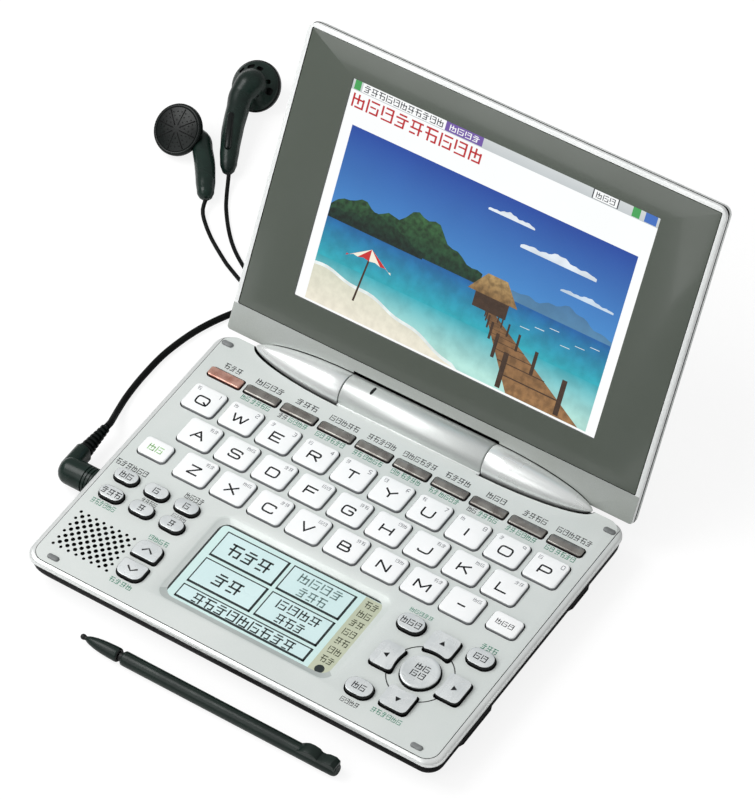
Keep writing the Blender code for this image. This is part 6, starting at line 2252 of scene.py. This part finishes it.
@dataclass
class Lid:
    """The opened lid, modelled flat in its own frame: X across, Y up from the hinge and Z out of its face."""

    hinge: HingeLine
    keys: Keys
    opening: float = 121.5
    half: float = 71.7
    start: float = 0.4
    end: float = 101.1
    face: float = -1.64
    back: float = -8.64
    window_low: Section = (-70.2, 9.4)
    window_high: Section = (70.2, 99.55)
    screen_low: Section = (-52.96, 19.77)
    screen_high: Section = (52.64, 90.17)
    corner: float = 3.2

    def pose(self) -> Matrix:
        """The matrix that puts the flat lid at its opened place."""
        return turned((0, self.hinge.axis_y, self.hinge.axis_z), 180 - self.opening, "X")

    def height(self, along: float) -> float:
        """How high a place on the lid's face lies.

        Args:
            along: how far it is from the hinge.

        Returns:
            Its height in the frame.
        """
        return (self.pose() @ Vector((0, along * MM, self.face * MM))).z / MM

    def notch(self) -> Thing:
        """The room that the lid leaves for the hinge's middle barrel, as a near-black tool that leaves painted
        shade on its walls.
        """
        low = (self.hinge.left_seam - self.hinge.fit, -2.0, -12.0)
        return tinted(slab("notch", low, (self.hinge.right_seam + self.hinge.fit, 6.05, 3.0)), GAP_SHADE)

    def make_room(self, thing: Thing) -> None:
        """Cut the rooms for the middle barrel and for the hinge ends out of a flat piece of the lid.

        Args:
            thing: the piece.
        """
        # Both rooms are cut with near-black tools, which paint shade on their walls.
        combine(thing, self.notch(), "DIFFERENCE")
        room = place(self.hinge.bullets("end_room", self.hinge.fit, GAP_SHADE), self.pose().inverted())
        combine(thing, room, "DIFFERENCE")

    def outline(self) -> tuple[Section, Section]:
        """The middle and the size of the flat lid."""
        return (0.0, (self.start + self.end) / 2), (2 * self.half, self.end - self.start)

    def build_frame(self) -> None:
        """Model the front frame with its strip and the hinge ends."""
        face, edge = self.face, self.window_low[1]
        sections = [(0.0, face - 1.28), (0.0, face - 0.35), (0.1, face - 0.12), (0.35, face)]
        shell = tinted(loft("lid_rim", *self.outline(), (1.0, self.corner), sections, 6), LID_RIM)
        select(shell, Element.FACE)
        bpy.ops.mesh.bisect(plane_co=(0, (edge - 0.02) * MM, 0), plane_no=(0, 1, 0))
        bpy.ops.object.mode_set(mode="OBJECT")
        repaint(shell, STRIP_GREY, lambda at, way: way.z > 0.9 and at.y < edge)
        # The window's pocket is cut with a near-black tool, which paints shade on its walls between rim and
        # window.
        pocket = slab("pocket", (*self.window_low, face - 1.0), (*self.window_high, 3.0), 0.5)
        combine(shell, tinted(pocket, GAP_SHADE), "DIFFERENCE")
        self.make_room(shell)
        seat(smooth(place(shell, self.pose())), Body.LID, "satin_silver_plastic", "lid_front_frame")
        ends = self.hinge.bullets("lid_hinge_ends", 0.0, SILVER_RIM)
        seat(smooth(ends, 40), Body.LID, "satin_silver_plastic")

    def build_back(self) -> None:
        """Model the back cover with its strongly rounded edges."""
        top, back = self.face - 1.85, self.back
        deep = top - back
        insets = (0.0, 0.015, 0.04, 0.1, 0.19, 0.3, 0.45, 0.62, 0.8)
        falls = (0.0, 0.12, 0.3, 0.5, 0.68, 0.81, 0.92, 0.98, 1.0)
        sections = [(0.5, self.face - 1.3), (0.5, top - 0.05)]
        sections += [(inset * deep, top - 0.05 - fall * (deep - 0.05)) for inset, fall in zip(insets, falls)]
        cover = loft("lid_back_panel", *self.outline(), (1.4, self.corner), sections, 8)
        # The inset step where the back cover meets the frame is painted near black: painted shade in the seam.
        repaint(tinted(cover, LID_BACK_SILVER), GAP_SHADE, lambda at, _: at.z > top - 0.06)
        self.make_room(cover)
        # The line round the back is a shallow groove cut with a near-black tool: painted shade on its walls.
        line = slab("back_line", (-64.0, 14.0, back - 1.0), (64.0, 94.0, back + 0.12), 3.0)
        inner = slab("back_line_inner", (-63.6, 14.4, back - 2.0), (63.6, 93.6, back + 1.0), 2.6)
        combine(line, inner, "DIFFERENCE")
        combine(cover, tinted(line, GAP_SHADE), "DIFFERENCE")
        left, right = self.hinge.left_seam - self.hinge.fit, self.hinge.right_seam + self.hinge.fit
        # A near-black sheet behind the barrel's notch stands for the shade there: painted shade. Its face
        # towards the lid's back is silver.
        shade_sheet = tinted(slab("notch_baffle", (left, 1.8, back + 1.0), (right, 6.3, back + 2.0), 0.0, 0.2), GAP_SHADE)
        repaint(shade_sheet, LID_BACK_SILVER, lambda at, way: way.z < -0.5)
        cover = place(joined("lid_back_panel", [cover, shade_sheet]), self.pose())
        seat(smooth(cover), Body.LID, "satin_silver_plastic", "lid_back_cover")

    def build_window(self) -> None:
        """Model the glossy window with the opening of its screen."""
        (left, front), (right, back), face = self.window_low, self.window_high, self.face
        low, high = (left + 0.22, front + 0.14, face - 0.98), (right - 0.22, back - 0.22, face - 0.08)
        pane = tinted(slab("window_pane", low, high, 0.5, 0.12), WINDOW_ACRYLIC)
        hole = slab("screen_hole", (*self.screen_low, face - 3.0), (*self.screen_high, face + 1.0), 0.3)
        combine(pane, tinted(hole, TOUCH_LINE), "DIFFERENCE")
        seat(smooth(place(pane, self.pose())), Body.LID, "window_acrylic", "lid_window")

    def glow(
        self,
        name: str,
        colour: Rgb,
        top_colour: Rgb | None = None,
        low: float = 20.0,
        high: float = 90.0,
        unevenness: float = 0.05,
        patch_scale: float = 60.0,
    ) -> Glow:
        """A lit finish of the screen.

        Args:
            name: its name.
            colour: its colour, or the lower one.
            top_colour: its upper colour.
            low: where the lower colour lies, from the hinge.
            high: where the upper one lies.
            unevenness: how much its brightness varies.
            patch_scale: the scale of that.

        Returns:
            The finish.
        """
        return Glow(
            name, colour, None, 0.25, unevenness, patch_scale, 3000.0, 0.0,
            top_colour=top_colour, low=self.height(low), high=self.height(high), strength=1.0,
        )

    def picture(self, level: float) -> list[Thing]:
        """A plain seascape of its own: wooded hills, calm sea, a beach, a parasol and a jetty with a hut.

        Args:
            level: how high its lowest layer lies.

        Returns:
            Its layers.
        """
        left, right, low, high, horizon, drop = -49.5, 49.2, 20.4, 76.6, 48.0, 35.0
        step = 0.012
        sky = self.glow("screen_sky", (70, 140, 206), (20, 66, 158), horizon, high, 0.1, 45.0)
        sea = self.glow("screen_sea", (46, 172, 188), (24, 92, 166), drop, horizon, 0.35, 260.0)
        shallow = self.glow("screen_shallow", (186, 234, 224), (46, 172, 188), 22.0, drop, 0.3, 200.0)
        sand = self.glow("screen_sand", (242, 236, 218), (222, 222, 202), low, 30.0, 0.2, 400.0)
        foam = self.glow("screen_foam", (240, 248, 246), None, 20, 90, 0.3, 300.0)
        cloud = self.glow("screen_cloud", (176, 206, 232), (232, 240, 248), horizon, 66.0, 0.3, 160.0)
        hill = self.glow("screen_hill", (22, 62, 42), (62, 112, 60), horizon, 62.0, 1.1, 620.0)
        near_hill = self.glow("screen_near_hill", (14, 44, 34), (38, 84, 48), horizon, 56.0, 1.1, 700.0)
        far_hill = self.glow("screen_far_hill", (84, 134, 172), (66, 112, 156), horizon, 56.0, 0.3, 200.0)
        wood = self.glow("screen_wood", (164, 122, 78), (122, 88, 56), low, 42.0, 0.7, 520.0)
        post = self.glow("screen_post", (70, 50, 36), None, 20, 90, 0.5, 500.0)
        straw = self.glow("screen_straw", (142, 108, 66), (190, 158, 104), 45.0, 53.0, 0.8, 700.0)
        red = self.glow("screen_red", (200, 44, 44), None)
        cream = self.glow("screen_cream", (246, 240, 222), None)
        bands = ((horizon, high, sky), (drop, horizon, sea), (low, drop, shallow))
        layers = [patch((left, start), (right, end), level, finish) for start, end, finish in bands]

        def add(outline: Sequence[Section], finish: Finish, rise: int) -> None:
            """Lay one shape of the picture on a layer.

            Args:
                outline: its corners.
                finish: its colour.
                rise: the number of its layer.
            """
            height = level + step * rise
            layers.append(tinted(flat_shape("layer", outline, height, height + 0.004), finish))

        def bank(
            start: float, end: float, base: float, tall: float, waves: float, shift: float
        ) -> list[Section]:
            """A rolling outline that stands on a straight foot.

            Args:
                start: where it begins.
                end: where it ends.
                base: the height of its foot.
                tall: how high it rises.
                waves: how quickly it rolls.
                shift: where the rolling starts.

            Returns:
                The outline.
            """
            outline, points = [(start, base)], 28
            for index in range(points + 1):
                share = index / points
                bulge = math.sin(math.pi * (0.06 + 0.88 * share)) ** 0.7
                ripple = 0.74 + 0.18 * math.sin(waves * share + shift) + 0.08 * math.sin(3.3 * waves * share)
                outline.append((start + (end - start) * share, base + tall * bulge * ripple))
            return [*outline, (end, base)]

        for x, y, wide, tall in ((26.0, 64.0, 26.0, 3.0), (8.0, 70.5, 16.0, 2.0), (38.0, 57.0, 18.0, 1.8)):
            add(bank(x - wide / 2, x + wide / 2, y, tall, 14.0, x), cloud, 1)
        add(bank(12.0, 49.1, horizon - 0.1, 6.0, 11.0, 1.3), far_hill, 2)
        add(bank(-49.4, 4.0, horizon - 0.3, 14.0, 12.0, 0.6), hill, 2)
        add(bank(-49.4, -16.0, horizon - 0.8, 8.5, 10.0, 2.2), near_hill, 3)
        shore = []
        for index in range(25):
            share = index / 24
            shore.append((left + 52.0 * index / 24, 31.5 - 11.0 * share**1.6 + 0.5 * math.sin(index * 0.8)))
        add([(left, low), *[(x, y + 1.0) for x, y in shore], (shore[-1][0] + 2.0, low)], foam, 2)
        add([(left, low), *shore, (shore[-1][0], low)], sand, 3)
        far, near = (9.0, 42.0), (34.0, low + 0.05)
        ends = [(near[0] - 12.5, near[1]), (far[0] - 1.5, far[1])]
        add([*ends, (far[0] + 1.5, far[1]), (near[0] + 12.5, near[1])], wood, 4)
        for index in range(1, 12):
            share = 1 - 0.78**index
            x, y = near[0] + (far[0] - near[0]) * share, near[1] + (far[1] - near[1]) * share
            half, upper = 12.5 - 11.0 * share, y + 0.5 * (1 - share)
            add([(x - half, y), (x + half, y), (x + half, upper), (x - half, upper)], post, 5)
            if index % 2:
                for side in (-1, 1):
                    foot, thick, tall = x + side * half, 0.9 * (1 - share) + 0.16, 7.5 * (1 - share) + 1.2
                    start, end, under, over = foot - thick, foot + thick, y - tall * 0.6, y + tall
                    add([(start, under), (end, under), (end, over), (start, over)], post, 6)
        add([(3.4, 41.2), (15.0, 41.2), (15.0, 46.4), (3.4, 46.4)], post, 7)
        add([(0.6, 45.8), (17.8, 45.8), (12.6, 52.4), (5.8, 52.4)], straw, 8)
        pole_x = -34.0
        add([(pole_x - 0.35, 26.0), (pole_x + 0.35, 26.0), (pole_x + 1.9, 40.0), (pole_x + 1.3, 40.0)], post, 7)
        for index in range(6):
            fan = [(pole_x + 1.7, 43.4)]
            for share in (index / 6, (index + 0.5) / 6, (index + 1) / 6):
                dip = 0.4 if share == (index + 0.5) / 6 else 0.0
                x = pole_x + 1.7 - 8.0 * math.cos(math.pi * share)
                fan.append((x, 38.4 + 1.2 * math.sin(math.pi * share) + dip))
            add(fan, cream if index % 2 else red, 8)
        for index in range(6):
            x, y = 20.0 + index * 4.6, 41.5 + (index % 3) * 1.7
            add([(x, y), (x + 3.2, y + 0.1), (x + 3.2, y + 0.28), (x, y + 0.16)], foam, 1)
        return layers

    def build_screen(self) -> None:
        """Model the lit page: bars, heading and picture."""
        marks, level = self.keys.marks, self.face - 0.75
        page = self.glow("screen_page", (253, 254, 254), (250, 252, 252), 20, 90, 0.02)
        bar = self.glow("screen_bar", (196, 202, 204), (210, 215, 216), 86, 90, 0.08)
        ink = self.glow("screen_ink", (52, 56, 62))
        red = self.glow("screen_heading", (190, 40, 46))
        violet = self.glow("screen_violet", (112, 84, 164))
        green = self.glow("screen_green", (64, 160, 84))
        blue = self.glow("screen_blue", (58, 108, 190))
        (left, front), (right, back), border = self.screen_low, self.screen_high, 1.2
        low = (left - border, front - border, level - 1.6)
        things = [tinted(slab("main_screen", low, (right + border, back + border, level), 0.4), page)]
        things.append(patch((-53.0, 86.8), (52.7, 90.2), level + 0.01, bar))
        blocks = (
            (page, -49.4, -20.4, 0.01), (violet, -20.4, -7.5, 0.01), (ink, 30.0, 38.8, 0.01),
            (page, 30.4, 38.4, 0.015), (green, 43.4, 46.0, 0.01), (blue, 47.6, 51.6, 0.01),
            (green, -52.2, -50.0, 0.01),
        )
        for finish, start, end, rise in blocks:
            inset = 20 * (rise - 0.01)
            things.append(patch((start, 87.05 + inset), (end, 89.95 - inset), level + 0.01 + rise, finish))
        rows = (
            (ink, (-49.0, 87.3), (-21.0, 89.6), 0.03, 11, 2),
            (page, (-19.2, 87.5), (-8.6, 89.5), 0.03, 4, 1),
            (ink, (31.0, 87.5), (37.8, 89.5), 0.03, 3, 1),
            (red, (-52.2, 81.6), (-6.2, 86.2), 0.02, 9, 1),
        )
        for finish, low, high, rise, count, first in rows:
            things += marks.row(finish, low, high, level + rise, count, first)
        things += self.picture(level + 0.015)
        screen = place(joined("main_screen", things), self.pose())
        seat(screen, Body.LID, "colour_display", "main_display")

    def build(self) -> None:
        """Model the lid."""
        self.build_frame()
        self.build_back()
        self.build_window()
        self.build_screen()


# Stylus


@dataclass
class Stylus:
    """The stylus on the table in front of the base, along X.

    The point and the barrel are given as distances from the tip and radii, and the thumb ridge as
    distances from the far end and heights over the axis.
    """

    start: float = -44.3
    axis_y: float = -60.25
    axis_z: float = 1.45
    first: float = 14.1
    last: float = 89.6
    point: Sequence[Section] = (
        (0.0, 0.1), (0.12, 0.5), (0.45, 0.8), (0.9, 0.88), (1.35, 0.8), (1.7, 0.66), (2.1, 0.7), (2.6, 0.98),
        (3.6, 1.3), (5.2, 1.65), (7.0, 1.9), (9.0, 2.06), (11.2, 2.16), (13.0, 2.2), (13.5, 2.12), (13.8, 1.85),
    )
    collar: Sequence[Section] = ((0.0, 1.45), (0.5, 1.5), (1.0, 1.55), (1.1, 2.05), (1.35, 2.22), (2.0, 2.25))
    tail: Sequence[Section] = ((-11.9, 2.25), (-6.0, 2.25), (-1.2, 2.2), (-0.4, 2.0), (0.0, 1.6))
    ridge: Sequence[Section] = (
        (-13.6, 1.2), (-12.0, 2.55), (-10.4, 3.6), (-8.6, 3.85), (-6.7, 3.5), (-5.9, 2.5), (-4.7, 2.6),
        (-3.4, 3.35), (-1.2, 3.65), (0.05, 2.65), (-0.2, 0.6), (-0.9, -1.2), (-13.6, -0.4),
    )

    def along(self) -> Matrix:
        """The matrix that lays a turned piece along X from the stylus's tip."""
        return turned((self.start, self.axis_y, self.axis_z), 90, "Y")

    def build(self) -> None:
        """Model the point and the body with its thumb ridge."""
        point = tinted(lathe("stylus_point", self.point, 40), STYLUS_PLASTIC)
        repaint(point, STYLUS_DARK, lambda at, _: at.z < 1.9 or at.z > 13.4)
        seat(smooth(place(point, self.along()), 40), Body.STYLUS, "stylus_plastic", "stylus_tip")
        profile = [(self.first + reach, radius) for reach, radius in self.collar]
        profile += [(self.last + reach, radius) for reach, radius in self.tail]
        barrel = tinted(lathe("stylus_body", profile, 40), STYLUS_PLASTIC)
        repaint(barrel, STYLUS_DARK, lambda at, _: at.z < self.first + 1.05)
        place(barrel, self.along())
        end = self.start + self.last
        outline = [(end + reach, self.axis_z + rise) for reach, rise in self.ridge]
        ridge = tinted(flat_shape("stylus_ridge", outline, -1.75, 1.75), STYLUS_PLASTIC)
        round_edges(ridge, 0.5, lambda at, way: abs(at.z) > 1.7 and abs(way.z) < 0.1)
        place(ridge, turned((0, self.axis_y, 0), 90, "X"))
        body = smooth(joined("stylus_body", [barrel, ridge]), 40)
        seat(body, Body.STYLUS, "stylus_plastic", "stylus_barrel")


CORNERS = ("front_left", "front_right", "back_left", "back_right")
KEPT_NODES = {
    STEEL: ("hinge_shaft", "speaker_unit", "touch_display", "plug_pin", *[f"screw_{at}" for at in CORNERS]),
    FOOT_RUBBER: ("key_mat", *[f"foot_{at}" for at in CORNERS]),
    BOARD: ("main_board",),
    BATTERY_WRAP: ("battery_pack",),
    BLACK_SIDE: ("earphone_socket",),
    BUMPER_RUBBER: ("coil_tie",),
}


def dress_kept_nodes() -> None:
    """Give the CAD nodes that stay as they are their finishes."""
    for finish, names in KEPT_NODES.items():
        for name in names:
            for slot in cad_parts[name].material_slots:
                slot.material = finish.material()
            LOG.info("%s keeps its shape and gets %s", name, finish.name)


def main() -> None:
    """Build the studio and every sub-assembly in order."""
    logging.basicConfig(level=logging.INFO, format="%(name)s: %(message)s")
    Studio().build()
    Earphones().build()
    keys, hinge = Keys(), HingeLine()
    PanelCover(keys, hinge).build()
    TouchPanel(keys).build()
    LowerCase().build()
    keys.build()
    Lid(hinge, keys).build()
    Stylus().build()
    keys.marks.clear()
    dress_kept_nodes()
    deselect()


if __name__ == "__main__":
    main()
